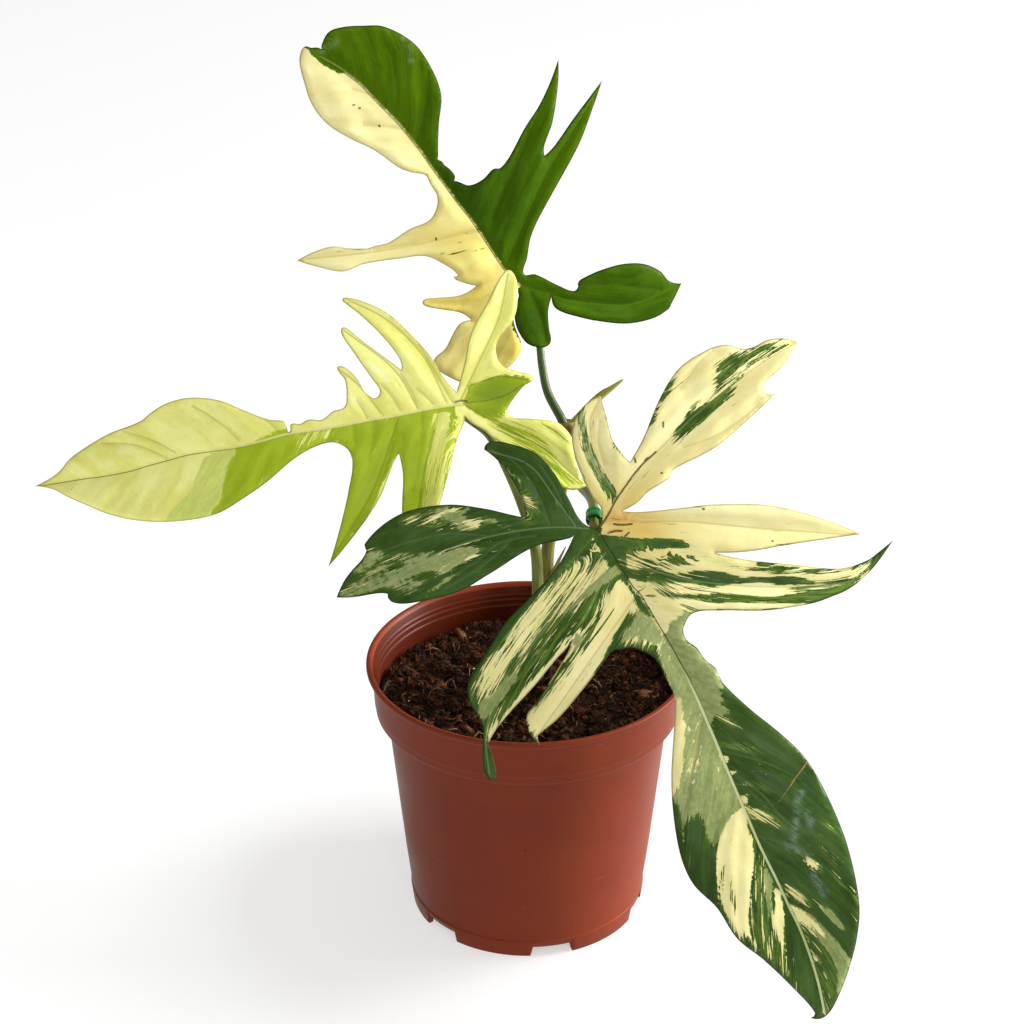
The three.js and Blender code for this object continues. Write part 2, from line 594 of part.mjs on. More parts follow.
function potGeometry() {
  const skirtTop = bodyRadius(SKIRT_HEIGHT);
  const collarEdge = bodyRadius(COLLAR_FOOT - 1);
  const collarInner = COLLAR_RADIUS - WALL;
  const lip = POT_HEIGHT;
  const profile = [
    [0, FLOOR_HEIGHT],
    [BASE_RADIUS - SKIRT_WALL + 0.4, FLOOR_HEIGHT],
    [BASE_RADIUS - SKIRT_WALL, 0],
    [BASE_RADIUS, 0],
    [skirtTop + 0.1, SKIRT_HEIGHT],
    [skirtTop - 0.25, SKIRT_HEIGHT + 0.4],
    [bodyRadius(45), 45],
    [collarEdge, COLLAR_FOOT - 1],
    [COLLAR_RADIUS - 0.8, COLLAR_FOOT],
    [COLLAR_RADIUS - 0.1, COLLAR_FOOT + 0.8],
    [COLLAR_RADIUS + 0.2, COLLAR_FOOT + COLLAR_BEVEL],
    [COLLAR_RADIUS + 0.9, lip - 3.4],
    [LIP_RADIUS - 0.7, lip - 2.6],
    [LIP_RADIUS, lip - 1.7],
    [LIP_RADIUS, lip - 0.5],
    [LIP_RADIUS - 0.5, lip],
    [LIP_RADIUS - 1.7, lip],
    [LIP_RADIUS - 2.6, lip - 1.2],
    [collarInner + 1.2, lip - 4.4],
    [collarInner + 0.6, lip - 4.9],
    [collarInner + 0.7, lip - 7.4],
    [collarInner + 0.1, lip - 8],
    [collarInner, COLLAR_FOOT + 2],
    [bodyRadius(COLLAR_FOOT) - WALL, COLLAR_FOOT - 2],
    [bodyRadius(45) - WALL, 45],
    [bodyRadius(FLOOR_HEIGHT) - WALL - 1.2, FLOOR_HEIGHT + WALL + 0.3],
    [bodyRadius(FLOOR_HEIGHT) - WALL - 2.2, FLOOR_HEIGHT + WALL],
    [0, FLOOR_HEIGHT + WALL],
  ];
  let pot = toSolid(turned(profile));
  for (let i = 0; i < FOOT_NOTCHES; i += 1) {
    const middle = THREE.MathUtils.degToRad(NOTCH_FIRST_DEG + (i * 360) / FOOT_NOTCHES);
    const width = 2 * BASE_RADIUS * Math.sin(THREE.MathUtils.degToRad(NOTCH_WIDTH_DEG / 2));
    const notch = new THREE.BoxGeometry(10, width, NOTCH_HEIGHT * 2);
    notch.rotateZ(middle);
    notch.translate(BASE_RADIUS * Math.cos(middle), BASE_RADIUS * Math.sin(middle), 0);
    pot = pot.subtract(toSolid(notch));
  }
  for (let i = 0; i < DRAIN_HOLES; i += 1) {
    const angle = (2 * Math.PI * i) / DRAIN_HOLES;
    const drain = new THREE.CylinderGeometry(DRAIN_RADIUS, DRAIN_RADIUS, 12, 16).rotateX(Math.PI / 2);
    drain.translate(DRAIN_CIRCLE * Math.cos(angle), DRAIN_CIRCLE * Math.sin(angle), FLOOR_HEIGHT);
    pot = pot.subtract(toSolid(drain));
  }
  return toGeometry(pot);
}

// Lumpy top of the soil, from a few crossing waves
function soilRise(x, y) {
  const lumps = Math.sin(0.31 * x + 0.9) * Math.cos(0.27 * y - 0.4) + 0.7 * Math.sin(0.53 * x - 0.37 * y)
    + 0.5 * Math.cos(0.71 * y + 0.22 * x + 1.7);
  const mound = SOIL_MOUND * Math.exp(-(x * x + y * y) / 900);
  return (SOIL_RELIEF * lumps) / 1.4 + mound;
}

function soilGeometry(cutters) {
  const floor = FLOOR_HEIGHT + WALL + GAP;
  const wall = (height) => bodyRadius(height) - WALL - GAP;
  const rings = [46.5, 38, 30, 22, 14, 7];
  const edge = COLLAR_RADIUS - WALL - GAP;
  const profile = [
    [0, floor],
    [wall(FLOOR_HEIGHT) - 2.4, floor],
    [wall(45), 45],
    [wall(COLLAR_FOOT - 2) - 0.1, COLLAR_FOOT - 2.4],
    [edge, COLLAR_FOOT + 2],
    [edge, SOIL_LEVEL],
    ...rings.map((radius) => [radius, SOIL_LEVEL]),
    [0, SOIL_LEVEL],
  ];
  const geometry = turned(profile);
  const position = geometry.attributes.position;
  for (let i = 0; i < position.count; i += 1) {
    if (position.getZ(i) < SOIL_LEVEL - 0.1) continue;
    const x = position.getX(i);
    const y = position.getY(i);
    const inward = Math.min(1, (edge - Math.hypot(x, y)) / 8 + 0.35);
    position.setZ(i, SOIL_LEVEL + inward * soilRise(x, y));
  }
  let soil = toSolid(geometry);
  for (const cutter of cutters) soil = soil.subtract(cutter);
  return toGeometry(soil);
}

const stemRadius = (t) => {
  let radius = STEM_RADIUS * (1.04 - 0.1 * t);
  for (const node of STEM_NODES) radius += NODE_SWELL * Math.exp(-(((t - node) / NODE_LENGTH) ** 2));
  return radius;
};

// The same limb, fatter all round by the gap and reaching a gap lower, for the cut it stands in
function clearance(path, radiusAt, sides, steps) {
  const [[x, y, z], ...rest] = path;
  return toSolid(limb([[x, y, z - GAP], ...rest], (t) => radiusAt(t) + GAP, sides, steps));
}

// A blade grown by the gap on its faces, and on its margin by small moves along and across
function bladeCut(leaf) {
  const { along, across } = leafAxes(leaf);
  const grown = toSolid(bladeGeometry(leaf, GAP));
  let cut = grown;
  for (const move of [along, across]) {
    for (const side of [GAP, -GAP]) {
      cut = cut.add(grown.translate(move.clone().multiplyScalar(side).toArray()));
    }
  }
  return cut;
}

const stemCut = clearance(STEM_PATH, stemRadius, 16, 48);
const bladeCuts = {
  top: bladeCut(TOP_LEAF),
  left: bladeCut(LEFT_LEAF),
  front: bladeCut(FRONT_LEAF),
};

// A stalk that ends flat against the back of its blade, a little up the midrib
function stalkPath(path, leaf, reachUp) {
  return [...path, onLeaf(leaf, reachUp, 0.4, -1.7).toArray()];
}

const topStalkPath = stalkPath(TOP_STALK_PATH, TOP_LEAF, 3);
const leftStalkPath = stalkPath(LEFT_STALK_PATH, LEFT_LEAF, 3);
const frontStalkPath = stalkPath(FRONT_STALK_PATH, FRONT_LEAF, 3);
const topStalkRadius = taper(1.9, 1.25);
const leftStalkRadius = taper(2.3, 1.5);
const frontStalkRadius = taper(2.2, 1.7);

function stalkGeometry(path, radiusAt, cutters, steps = 26) {
  let stalk = toSolid(limb(path, radiusAt, 8, steps));
  for (const cutter of cutters) stalk = stalk.subtract(cutter);
  return toGeometry(mainBody(stalk));
}

// The tie is a short band round the front leaf's stalk with a tab that sticks out to one side
function tieGeometry() {
  const curve = new THREE.CatmullRomCurve3(frontStalkPath.map((point) => new THREE.Vector3(...point)));
  const centre = curve.getPointAt(TIE_AT);
  const axis = curve.getTangentAt(TIE_AT);
  const half = TIE_LENGTH / 2;
  const profile = [
    [TIE_RADIUS - TIE_WALL, -half], [TIE_RADIUS, -half], [TIE_RADIUS, half], [TIE_RADIUS - TIE_WALL, half],
    [TIE_RADIUS - TIE_WALL, -half],
  ];
  const points = profile.map(([radius, height]) => new THREE.Vector2(radius, height));
  const band = toSolid(new THREE.LatheGeometry(points, 24));
  const tab = new THREE.BoxGeometry(TIE_TAB, TIE_LENGTH, 1.2).translate(-TIE_RADIUS - TIE_TAB / 2 + 0.5, 0, 0);
  const turn = new THREE.Quaternion().setFromUnitVectors(new THREE.Vector3(0, 1, 0), axis);
  const geometry = toGeometry(band.add(toSolid(tab)));
  return geometry.applyQuaternion(turn).translate(centre.x, centre.y, centre.z);
}

const leftStalkCut = clearance(leftStalkPath, leftStalkRadius, 16, 26);
const group = new THREE.Group();

function add(name, geometry, material) {
  const mesh = new THREE.Mesh(geometry, material);
  mesh.name = name;
  group.add(mesh);
}

add('pot', potGeometry(), TERRACOTTA);
add('soil', soilGeometry([stemCut, leftStalkCut]), PEAT);
add('stem', limb(STEM_PATH, stemRadius, 10, 48), STEM_OLIVE);
add('petiole_top', stalkGeometry(topStalkPath, topStalkRadius, [stemCut, bladeCuts.top]), STALK_GREEN);
add('petiole_left', stalkGeometry(leftStalkPath, leftStalkRadius, [bladeCuts.left]), STALK_OLIVE);
add('petiole_front', stalkGeometry(frontStalkPath, frontStalkRadius, [stemCut, bladeCuts.front]), STALK_OLIVE);
add('leaf_top', bladeGeometry(TOP_LEAF), CREAM_GREEN);
add('leaf_left', bladeGeometry(LEFT_LEAF), LIME);
add('leaf_front', bladeGeometry(FRONT_LEAF), DARK_GREEN);
add('new_leaf', stalkGeometry(NEW_LEAF_PATH, taper(1.3, 1, 0.55), [stemCut], 18), STALK_OLIVE);
add('sheath', stalkGeometry(SHEATH_PATH, taper(1.2, 0.8, 0.7), [stemCut], 16), DRY_OLIVE);
add('tie', tieGeometry(), TIE_GREEN);

const bounds = new THREE.Box3().setFromObject(group);
const middle = bounds.getCenter(new THREE.Vector3());
group.position.set(-middle.x, -middle.y, -bounds.min.z);
group.updateMatrixWorld(true);

export default group;
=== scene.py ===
# %% [markdown]
# # A potted florida beauty philodendron
#
# The plant is one climbing aroid in a round nursery pot: three deeply cut leaves, each with its
# own variegation, on slender stalks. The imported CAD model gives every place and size. This
# script dresses it: it lays finer shapes over the plain solids and gives them finishes that are
# made of nodes alone. Lengths are written in millimetres, from the pot's axis, as in the CAD
# source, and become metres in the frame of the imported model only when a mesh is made.

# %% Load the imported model
import math

import bpy
import numpy as np
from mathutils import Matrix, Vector, geometry


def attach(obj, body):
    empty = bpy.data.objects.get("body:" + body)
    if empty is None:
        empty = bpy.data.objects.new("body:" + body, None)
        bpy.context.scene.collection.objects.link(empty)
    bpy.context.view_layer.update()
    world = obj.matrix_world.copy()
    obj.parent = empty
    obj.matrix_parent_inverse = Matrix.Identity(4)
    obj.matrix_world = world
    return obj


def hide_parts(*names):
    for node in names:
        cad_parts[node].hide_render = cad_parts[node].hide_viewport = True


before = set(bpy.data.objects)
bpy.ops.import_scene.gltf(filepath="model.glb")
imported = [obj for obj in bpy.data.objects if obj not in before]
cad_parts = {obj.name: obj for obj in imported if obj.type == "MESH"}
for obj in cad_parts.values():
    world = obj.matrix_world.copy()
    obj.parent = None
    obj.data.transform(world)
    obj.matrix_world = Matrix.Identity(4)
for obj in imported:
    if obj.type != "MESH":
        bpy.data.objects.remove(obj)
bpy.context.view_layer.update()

AXIS = np.array([27.0773, 29.6479, 0.0])
MM = 0.001
print("CAD nodes:", ", ".join(sorted(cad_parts)))


def in_frame(points):
    """Millimetres from the pot's axis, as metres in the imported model's frame."""
    return (np.asarray(points, float) + AXIS) * MM


# %% [markdown]
# ## Camera
#
# The photograph looks down on the plant from a little above the leaves, with a long lens: the
# pot's lip is a narrow ellipse and its sides hardly converge. The lip, the ledge and the base
# give an angle of 27.7 degrees below level and a distance of about 1.1 m with a 105 mm lens.

# %% Camera
VIEW_DOWN = math.radians(27.7)
CAMERA_PLACE = np.array([-5.9, -965.96, 673.54])
LENS = 105
SENSOR = 36
camera = bpy.data.objects.new("camera", bpy.data.cameras.new("camera"))
camera.data.lens = LENS
camera.data.sensor_width = SENSOR
camera.data.clip_start = 0.05
camera.data.clip_end = 30
camera.location = in_frame(CAMERA_PLACE)
camera.rotation_euler = (math.pi / 2 - VIEW_DOWN, 0, 0)
bpy.context.scene.collection.objects.link(camera)
bpy.context.scene.camera = camera
print("camera at", [round(x, 3) for x in camera.location])

# %% [markdown]
# ## Floor and light
#
# The plant stands on bright white, and its only shadow is a pale one to the left of the pot. A
# wide white floor under an even white sky gives that, with a soft key lamp high on the right for
# the shadow. A stronger lamp low on the right gives the sheen on that side of the pot, and it
# leaves out the floor, where it would throw a second shadow. Two weak lamps in front fill the
# leaves and put a small light spot on the pot. The view transform is the plain one, so that the
# colours of the finishes are the colours of the picture.

# %% Floor and light
FLOOR_CORNERS = [(-6, -4, 0), (6, -4, 0), (6, 9, 0), (-6, 9, 0)]
FLOOR_GLOW = 0.53
SKY_GLOW = 0.40
LAMPS = (
    # name, place, what it faces (both in metres), width in metres, watts
    ("key", (1.15, 0.12, 1.7), (0, 0, 0.08), 0.8, 25),
    ("side", (1.9, 0.35, 0.5), (0, 0, 0.1), 0.6, 80),
    ("front", (-0.4, -1.5, 1.7), (0, 0, 0.15), 1.0, 6),
    ("window", (0.62, -1.85, 0.32), (0.05, 0, 0.12), 0.18, 6),
)


def stage_floor():
    """The white floor, with a glow of its own."""
    mesh = bpy.data.meshes.new("floor")
    mesh.from_pydata(FLOOR_CORNERS, [], [(0, 1, 2, 3)])
    floor = bpy.data.objects.new("floor", mesh)
    bpy.context.scene.collection.objects.link(floor)
    white = bpy.data.materials.new("floor_white")
    white.use_nodes = True
    shader = white.node_tree.nodes["Principled BSDF"]
    shader.inputs["Base Color"].default_value = (0.6, 0.6, 0.597, 1)
    shader.inputs["Roughness"].default_value = 0.9
    shader.inputs["Specular IOR Level"].default_value = 0.0
    shader.inputs["Emission Color"].default_value = (1, 1, 1, 1)
    shader.inputs["Emission Strength"].default_value = FLOOR_GLOW
    mesh.materials.append(white)
    return floor


def soft_lamp(name, place, aim, size, power):
    """A square lamp at a place in metres, turned to face another."""
    lamp = bpy.data.lights.new(name, "AREA")
    lamp.size = size
    lamp.energy = power
    holder = bpy.data.objects.new(name, lamp)
    holder.location = place
    holder.rotation_euler = (Vector(aim) - Vector(place)).to_track_quat("-Z", "Y").to_euler()
    bpy.context.scene.collection.objects.link(holder)
    return holder


def leave_out(lamp, thing):
    """The lamp doesn't light this thing, and so it throws no shadows on it."""
    unlit = bpy.data.collections.new("unlit_by_" + lamp.name)
    unlit.objects.link(thing)
    unlit.collection_objects[0].light_linking.link_state = "EXCLUDE"
    lamp.light_linking.receiver_collection = unlit


floor = stage_floor()
lamps = {row[0]: soft_lamp(*row) for row in LAMPS}
leave_out(lamps["side"], floor)
world = bpy.data.worlds.new("sky")
world.use_nodes = True
world.node_tree.nodes["Background"].inputs["Color"].default_value = (1, 1, 1, 1)
world.node_tree.nodes["Background"].inputs["Strength"].default_value = SKY_GLOW
bpy.context.scene.world = world
bpy.context.scene.view_settings.view_transform = "Standard"
bpy.context.scene.view_settings.look = "None"
print("lamps:", ", ".join(lamps), "and an even sky")

# %% [markdown]
# ## A short way to wire finishes
#
# Every finish here is a Principled shader fed by a few noises and attributes. A small wrapper
# keeps that readable: each call adds one node and gives back its output, so that the outputs can
# be passed on like numbers. Every function that builds a finish calls it f.

# %% Finish helpers
class Finish:
    """A material under construction. Numbers, colours and outputs can all be inputs."""

    def __init__(self, name, roughness, specular):
        self.material = bpy.data.materials.new(name)
        self.material.use_nodes = True
        self.tree = self.material.node_tree
        self.shader = self.tree.nodes["Principled BSDF"]
        self.shader.inputs["Roughness"].default_value = roughness
        self.shader.inputs["Specular IOR Level"].default_value = specular

    def give(self, socket, value):
        if isinstance(value, bpy.types.NodeSocket):
            self.tree.links.new(value, socket)
        elif isinstance(value, tuple) and len(value) == 3 and len(socket.default_value) == 4:
            socket.default_value = (*value, 1)
        else:
            socket.default_value = value

    def node(self, kind, inputs, out=0, **settings):
        made = self.tree.nodes.new("ShaderNode" + kind)
        for key, value in settings.items():
            setattr(made, key, value)
        for key, value in inputs.items():
            self.give(made.inputs[key], value)
        return made.outputs[out]

    def math(self, operation, first, second=0.0):
        return self.node("Math", {0: first, 1: second}, operation=operation)

    def plus(self, first, *others):
        for other in others:
            first = self.math("ADD", first, other)
        return first

    def times(self, first, second):
        return self.math("MULTIPLY", first, second)

    def swing(self, noise, size):
        """A noise from 0 to 1 as a swing to both sides of nothing."""
        return self.times(self.math("SUBTRACT", noise, 0.5), size)

    def attribute(self, name, out="Fac"):
        return self.node("Attribute", {}, out=out, attribute_name=name)

    def stretch(self, vector, scale):
        return self.node("VectorMath", {0: vector, 1: scale}, operation="MULTIPLY")

    def place(self):
        """The place on the object in metres, which doesn't move with the camera."""
        return self.node("TexCoord", {}, out="Object")

    def noise(self, vector, scale, detail, roughness=0.5):
        inputs = {"Vector": vector, "Scale": scale, "Detail": detail, "Roughness": roughness}
        return self.node("TexNoise", inputs)

    def step(self, value, low, high, to_low=0.0, to_high=1.0):
        inputs = {"Value": value, "From Min": low, "From Max": high, "To Min": to_low, "To Max": to_high}
        return self.node("MapRange", inputs, interpolation_type="SMOOTHSTEP")

    def mix(self, share, first, second, blend="MIX"):
        """Two colours mixed. A mix node's share is input 0, and its colours are 6 and 7."""
        made = self.tree.nodes.new("ShaderNodeMix")
        made.data_type = "RGBA"
        made.blend_type = blend
        self.give(made.inputs[0], share)
        self.give(made.inputs[6], first)
        self.give(made.inputs[7], second)
        return made.outputs[2]

    def bump(self, height, distance, strength):
        return self.node("Bump", {"Height": height, "Distance": distance, "Strength": strength})

    def done(self, colour, normal, roughness=None):
        self.give(self.shader.inputs["Base Color"], colour)
        self.give(self.shader.inputs["Normal"], normal)
        if roughness is not None:
            self.give(self.shader.inputs["Roughness"], roughness)
        return self.material


def shade(*screen):
    """A screen colour, red, green and blue from 0 to 255, as the linear colour a shader takes."""
    return tuple(((x / 255 + 0.055) / 1.055) ** 2.4 if x > 10 else x / 255 / 12.92 for x in screen)


def add_piece(name, points, faces, material, replaces=(), attributes=None, smooth=True):
    """A named piece of the plant from points in millimetres, riding on the frame."""
    mesh = bpy.data.meshes.new(name)
    mesh.from_pydata(in_frame(points).tolist(), [], faces)
    mesh.polygons.foreach_set("use_smooth", [smooth] * len(mesh.polygons))
    for key, values in (attributes or {}).items():
        values = np.asarray(values, np.float32)
        if values.ndim == 1:
            mesh.attributes.new(key, "FLOAT", "POINT").data.foreach_set("value", values)
        else:
            mesh.attributes.new(key, "FLOAT_VECTOR", "POINT").data.foreach_set("vector", values.ravel())
    mesh.materials.append(material)
    mesh.update()
    piece = bpy.data.objects.new(name, mesh)
    bpy.context.scene.collection.objects.link(piece)
    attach(piece, "root")
    if replaces:
        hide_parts(*replaces)
    print(f"{name}: {len(mesh.vertices)} points, {len(mesh.polygons)} faces")
    return piece


print("finish helpers ready")

# %% [markdown]
# ## Rings of points
#
# The pot, the stalks, the fibres and the tie are all rows of points that go round, one row above
# the other. These helpers make such a row and the faces between rows, so that each shape below
# only says where its rows are.

# %% Rings of points
def unit(vectors):
    """One vector, or each row of an array of vectors, at length 1."""
    vectors = np.asarray(vectors, float)
    length = np.linalg.norm(vectors, axis=-1)
    return vectors / (length[:, None] if vectors.ndim > 1 else length)


def round_row(radius, count, height, middle=(0.0, 0.0)):
    angles = [2 * math.pi * k / count for k in range(count)]
    return [(middle[0] + radius * math.cos(a), middle[1] + radius * math.sin(a), height) for a in angles]


def tube(rows, count, first=0):
    """The four-sided faces between neighbouring rows of count points each."""
    return [
        (row + k, row + (k + 1) % count, row + count + (k + 1) % count, row + count + k)
        for row in range(first, first + (rows - 1) * count, count) for k in range(count)
    ]


def closed_tube(rows, count, first=0):
    """A tube with a face over each end."""
    last = first + (rows - 1) * count
    return [*tube(rows, count, first), tuple(first + k for k in reversed(range(count))),
            tuple(last + k for k in range(count))]


print("a closed tube of 2 rows of 6 has", len(closed_tube(2, 6)), "faces")

# %% [markdown]
# ## Pot
#
# A 12 cm injection-moulded pot: a rolled lip, a straight collar that ends in a small ledge, a
# body that tapers to a notched foot skirt, and three faint steps inside the lip. A turned
# profile makes all of that, as a lathe would. The profile is closed, so that the wall has its
# real thickness, and the ring at the very bottom is lifted where the skirt is notched.

# %% Pot profile
LIP_RADIUS = 60.6
POT_HEIGHT = 104.4
BASE_RADIUS = 44.3
BODY_TAPER = 0.105
WALL = 1.3
COLLAR_FOOT = 84.5
COLLAR_RADIUS = 57.4
SKIRT_HEIGHT = 6.8
FLOOR_HEIGHT = 5.4
NOTCH_HEIGHT = 4.2
NOTCH_HALF_WIDTH = math.radians(10)
NOTCHES = [math.radians(-78 + 60 * i) for i in range(6)]
NOTCH_SLOPE = 0.012
TURN_STEPS = 240
INNER_STEPS = (100.0, 98.2, 95.8)


def body_radius(height):
    return BASE_RADIUS + BODY_TAPER * height


def rounded(profile, reach=0.35):
    """The profile with each corner cut by two short bevels, so that edges catch the light."""
    points = []
    for before, here, after in zip(profile[:-2], profile[1:-1], profile[2:]):
        here = np.array(here)
        for other in (before, after):
            away = np.array(other) - here
            length = np.hypot(*away)
            points.append(here + away * min(reach / length, 0.3))
        middle = (points[-1] + points[-2]) / 2
        points.insert(-1, (middle + here) / 2)
    return [profile[0], *[tuple(p) for p in points], profile[-1]]


def pot_profile():
    """Radius and height, from the middle of the floor's underside round to its top."""
    collar_inner = COLLAR_RADIUS - WALL
    lip = POT_HEIGHT
    outside = [
        (6, FLOOR_HEIGHT), (BASE_RADIUS - 1.5, FLOOR_HEIGHT), (BASE_RADIUS - 1.9, 0), (BASE_RADIUS, 0),
        (body_radius(SKIRT_HEIGHT) + 0.15, SKIRT_HEIGHT),
        (body_radius(SKIRT_HEIGHT) - 0.25, SKIRT_HEIGHT + 0.5),
        (body_radius(25), 25), (body_radius(45), 45), (body_radius(65), 65), (body_radius(79), 79),
        (body_radius(83) + 0.1, 83.2), (COLLAR_RADIUS - 0.9, COLLAR_FOOT - 0.1),
        (COLLAR_RADIUS - 0.1, COLLAR_FOOT + 0.9), (COLLAR_RADIUS + 0.05, COLLAR_FOOT + 3.4),
        (COLLAR_RADIUS + 0.35, COLLAR_FOOT + 4.1), (COLLAR_RADIUS + 0.9, lip - 3.6),
        (LIP_RADIUS - 0.8, lip - 2.7), (LIP_RADIUS, lip - 1.7), (LIP_RADIUS, lip - 0.5),
        (LIP_RADIUS - 0.6, lip), (LIP_RADIUS - 1.7, lip - 0.05),
    ]
    inside = [(LIP_RADIUS - 2.5, lip - 1.2), (collar_inner + 1.3, lip - 3.6)]
    for i, height in enumerate(INNER_STEPS):
        radius = collar_inner + 1.2 - 0.42 * i
        inside += [(radius, height + 0.35), (radius - 0.4, height - 0.15)]
    inside += [
        (collar_inner, 94), (collar_inner, COLLAR_FOOT + 2),
        (body_radius(COLLAR_FOOT) - WALL, COLLAR_FOOT - 2), (body_radius(45) - WALL, 45),
        (body_radius(FLOOR_HEIGHT) - WALL - 1.2, FLOOR_HEIGHT + WALL + 0.3),
        (body_radius(FLOOR_HEIGHT) - WALL - 2.2, FLOOR_HEIGHT + WALL), (6, FLOOR_HEIGHT + WALL),
    ]
    return rounded(outside + inside)


def turn_angles():
    """Even steps round the pot, with extra ones at the sides of each notch."""
    angles = [2 * math.pi * i / TURN_STEPS for i in range(TURN_STEPS)]
    for middle in NOTCHES:
        for side in (-1, 1):
            for near in (-NOTCH_SLOPE, -0.004, 0.004, NOTCH_SLOPE):
                angles.append((middle + side * NOTCH_HALF_WIDTH + near) % (2 * math.pi))
    return sorted(set(round(a, 5) for a in angles))


def notch_lift(angle):
    """How far the foot is lifted at this angle, from 0 to 1, with short slanting sides."""
    lift = 0.0
    for middle in NOTCHES:
        away = abs((angle - middle + math.pi) % (2 * math.pi) - math.pi)
        lift = max(lift, min(1.0, max(0.0, (NOTCH_HALF_WIDTH + NOTCH_SLOPE - away) / (2 * NOTCH_SLOPE))))
    return lift


def turned_pot():
    """Points and faces of the pot, and for each point whether it is on the inside, where the colour gets
    painted shade.
    """
    profile = pot_profile()
    angles = turn_angles()
    points, depth = [], []
    for index, (radius, height) in enumerate(profile):
        inner = index > len(profile) * 0.6
        for angle in angles:
            z = height
            if height < NOTCH_HEIGHT and radius > 30:
                z = max(height, NOTCH_HEIGHT * notch_lift(angle))
            points.append((radius * math.cos(angle), radius * math.sin(angle), z))
            depth.append(1.0 if inner else 0.0)
    return points, closed_tube(len(profile), len(angles)), depth


print("points in the pot's profile:", len(pot_profile()))


# %% [markdown]
# The plastic is a red-brown terracotta: satin, with turning lines from the mould, a few dark
# specks and pale rubbed marks. Each is one noise, squeezed along the height for the turning
# lines and left even for the specks. The inside wall is painted a little darker, as painted shade.

# %% Pot finish
def terracotta():
    f = Finish("terracotta_plastic", roughness=0.42, specular=0.1)
    place = f.place()
    cloudy = f.noise(place, 22, 3)
    tone = f.mix(f.step(cloudy, 0.35, 0.65), shade(108, 42, 20), shade(116, 46, 23))
    lines = f.noise(f.stretch(place, (6.0, 6.0, 900.0)), 1.0, 2)
    tone = f.mix(f.step(lines, 0.3, 0.7, 0.0, 0.12), tone, shade(100, 42, 26))
    scuffs = f.noise(f.stretch(place, (60.0, 60.0, 420.0)), 1.0, 4, 0.7)
    tone = f.mix(f.step(scuffs, 0.66, 0.78, 0.0, 0.35), tone, shade(186, 120, 98))
    specks = f.noise(place, 520, 1)
    tone = f.mix(f.step(specks, 0.79, 0.83, 0.0, 0.8), tone, shade(48, 22, 16))
    # painted shade: the inside wall is darkened in its colour, for the shade that falls inside the pot
    tone = f.mix(f.attribute("inner"), tone, shade(76, 26, 9))
    grain = f.noise(place, 1500, 2)
    height = f.plus(f.times(grain, 0.25), f.times(lines, 0.35))
    rough = f.step(cloudy, 0.3, 0.7, 0.36, 0.5)
    return f.done(tone, f.bump(height, 0.00012, 0.5), rough)


pot_points, pot_faces, pot_inside_shade = turned_pot()
pot = add_piece(
    "pot_turned", pot_points, pot_faces, terracotta(), ["pot"], {"inner": pot_inside_shade},
)

# %% [markdown]
# ## Drain holes
#
# Six round holes go through the floor of the pot. A boolean cut with six plugs makes them, and
# its result is kept as the pot's own mesh.

# %% Drain holes
DRAIN_HOLES = 6
DRAIN_CIRCLE = 29
DRAIN_RADIUS = 4.5
DRAIN_SIDES = 24


def cut_drains(piece):
    plugs = bpy.data.meshes.new("plugs")
    points, faces = [], []
    for x, y, _ in round_row(DRAIN_CIRCLE, DRAIN_HOLES, 0):
        faces += closed_tube(2, DRAIN_SIDES, len(points))
        for height in (FLOOR_HEIGHT - 4, FLOOR_HEIGHT + 6):
            points += round_row(DRAIN_RADIUS, DRAIN_SIDES, height, (x, y))
    plugs.from_pydata(in_frame(points).tolist(), [], faces)
    cutter = bpy.data.objects.new("plugs", plugs)
    bpy.context.scene.collection.objects.link(cutter)
    cut = piece.modifiers.new("drains", "BOOLEAN")
    cut.operation = "DIFFERENCE"
    cut.object = cutter
    cut.solver = "EXACT"
    bpy.context.view_layer.update()
    result = bpy.data.meshes.new_from_object(piece.evaluated_get(bpy.context.evaluated_depsgraph_get()))
    piece.modifiers.clear()
    piece.data = result
    bpy.data.objects.remove(cutter)
    print("pot after the drain holes:", len(result.polygons), "faces")


cut_drains(pot)

# %% [markdown]
# ## Potting mix
#
# The mix is dark peat and coir, uneven and crumbly, with brown chunks and a few grains of white
# perlite. A displaced bed would look like clay, so the bed is only the ground, and thousands of
# small irregular lumps lie on it. They are one mesh for each kind, made of squashed and dented
# icosahedra at random turns.

# %% Bed of the potting mix
SOIL_LEVEL = 90.0
GAP = 0.3
SOIL_EDGE = COLLAR_RADIUS - WALL - GAP
BED_SINK = 0.6


def soil_height(x, y):
    """Lumpy top of the mix, with a low mound in the middle and a soft fall to the wall."""
    lumps = np.sin(0.31 * x + 0.9) * np.cos(0.27 * y - 0.4) + 0.7 * np.sin(0.53 * x - 0.37 * y)
    lumps = lumps + 0.5 * np.cos(0.71 * y + 0.22 * x + 1.7)
    mound = 2.5 * np.exp(-(x * x + y * y) / 900) + 5.5 * np.exp(-((x - 6) ** 2 + (y + 5) ** 2) / 130)
    lumps = lumps + 0.9 * np.sin(0.16 * x + 0.5) * np.cos(0.19 * y + 1.1)
    inward = np.minimum(1.0, (SOIL_EDGE - np.hypot(x, y)) / 8 + 0.35)
    return SOIL_LEVEL + inward * (1.21 * lumps + mound)


def crumbly(x, y):
    """Small bumps on top of the lumps, from many turned waves of random phase."""
    rise = np.zeros_like(x)
    turns = np.random.default_rng(4)
    for _ in range(40):
        angle, phase = turns.uniform(0, 2 * math.pi, 2)
        rate = turns.uniform(0.6, 2.6)
        rise += np.sin(rate * (x * math.cos(angle) + y * math.sin(angle)) + phase) / rate
    return 0.16 * rise


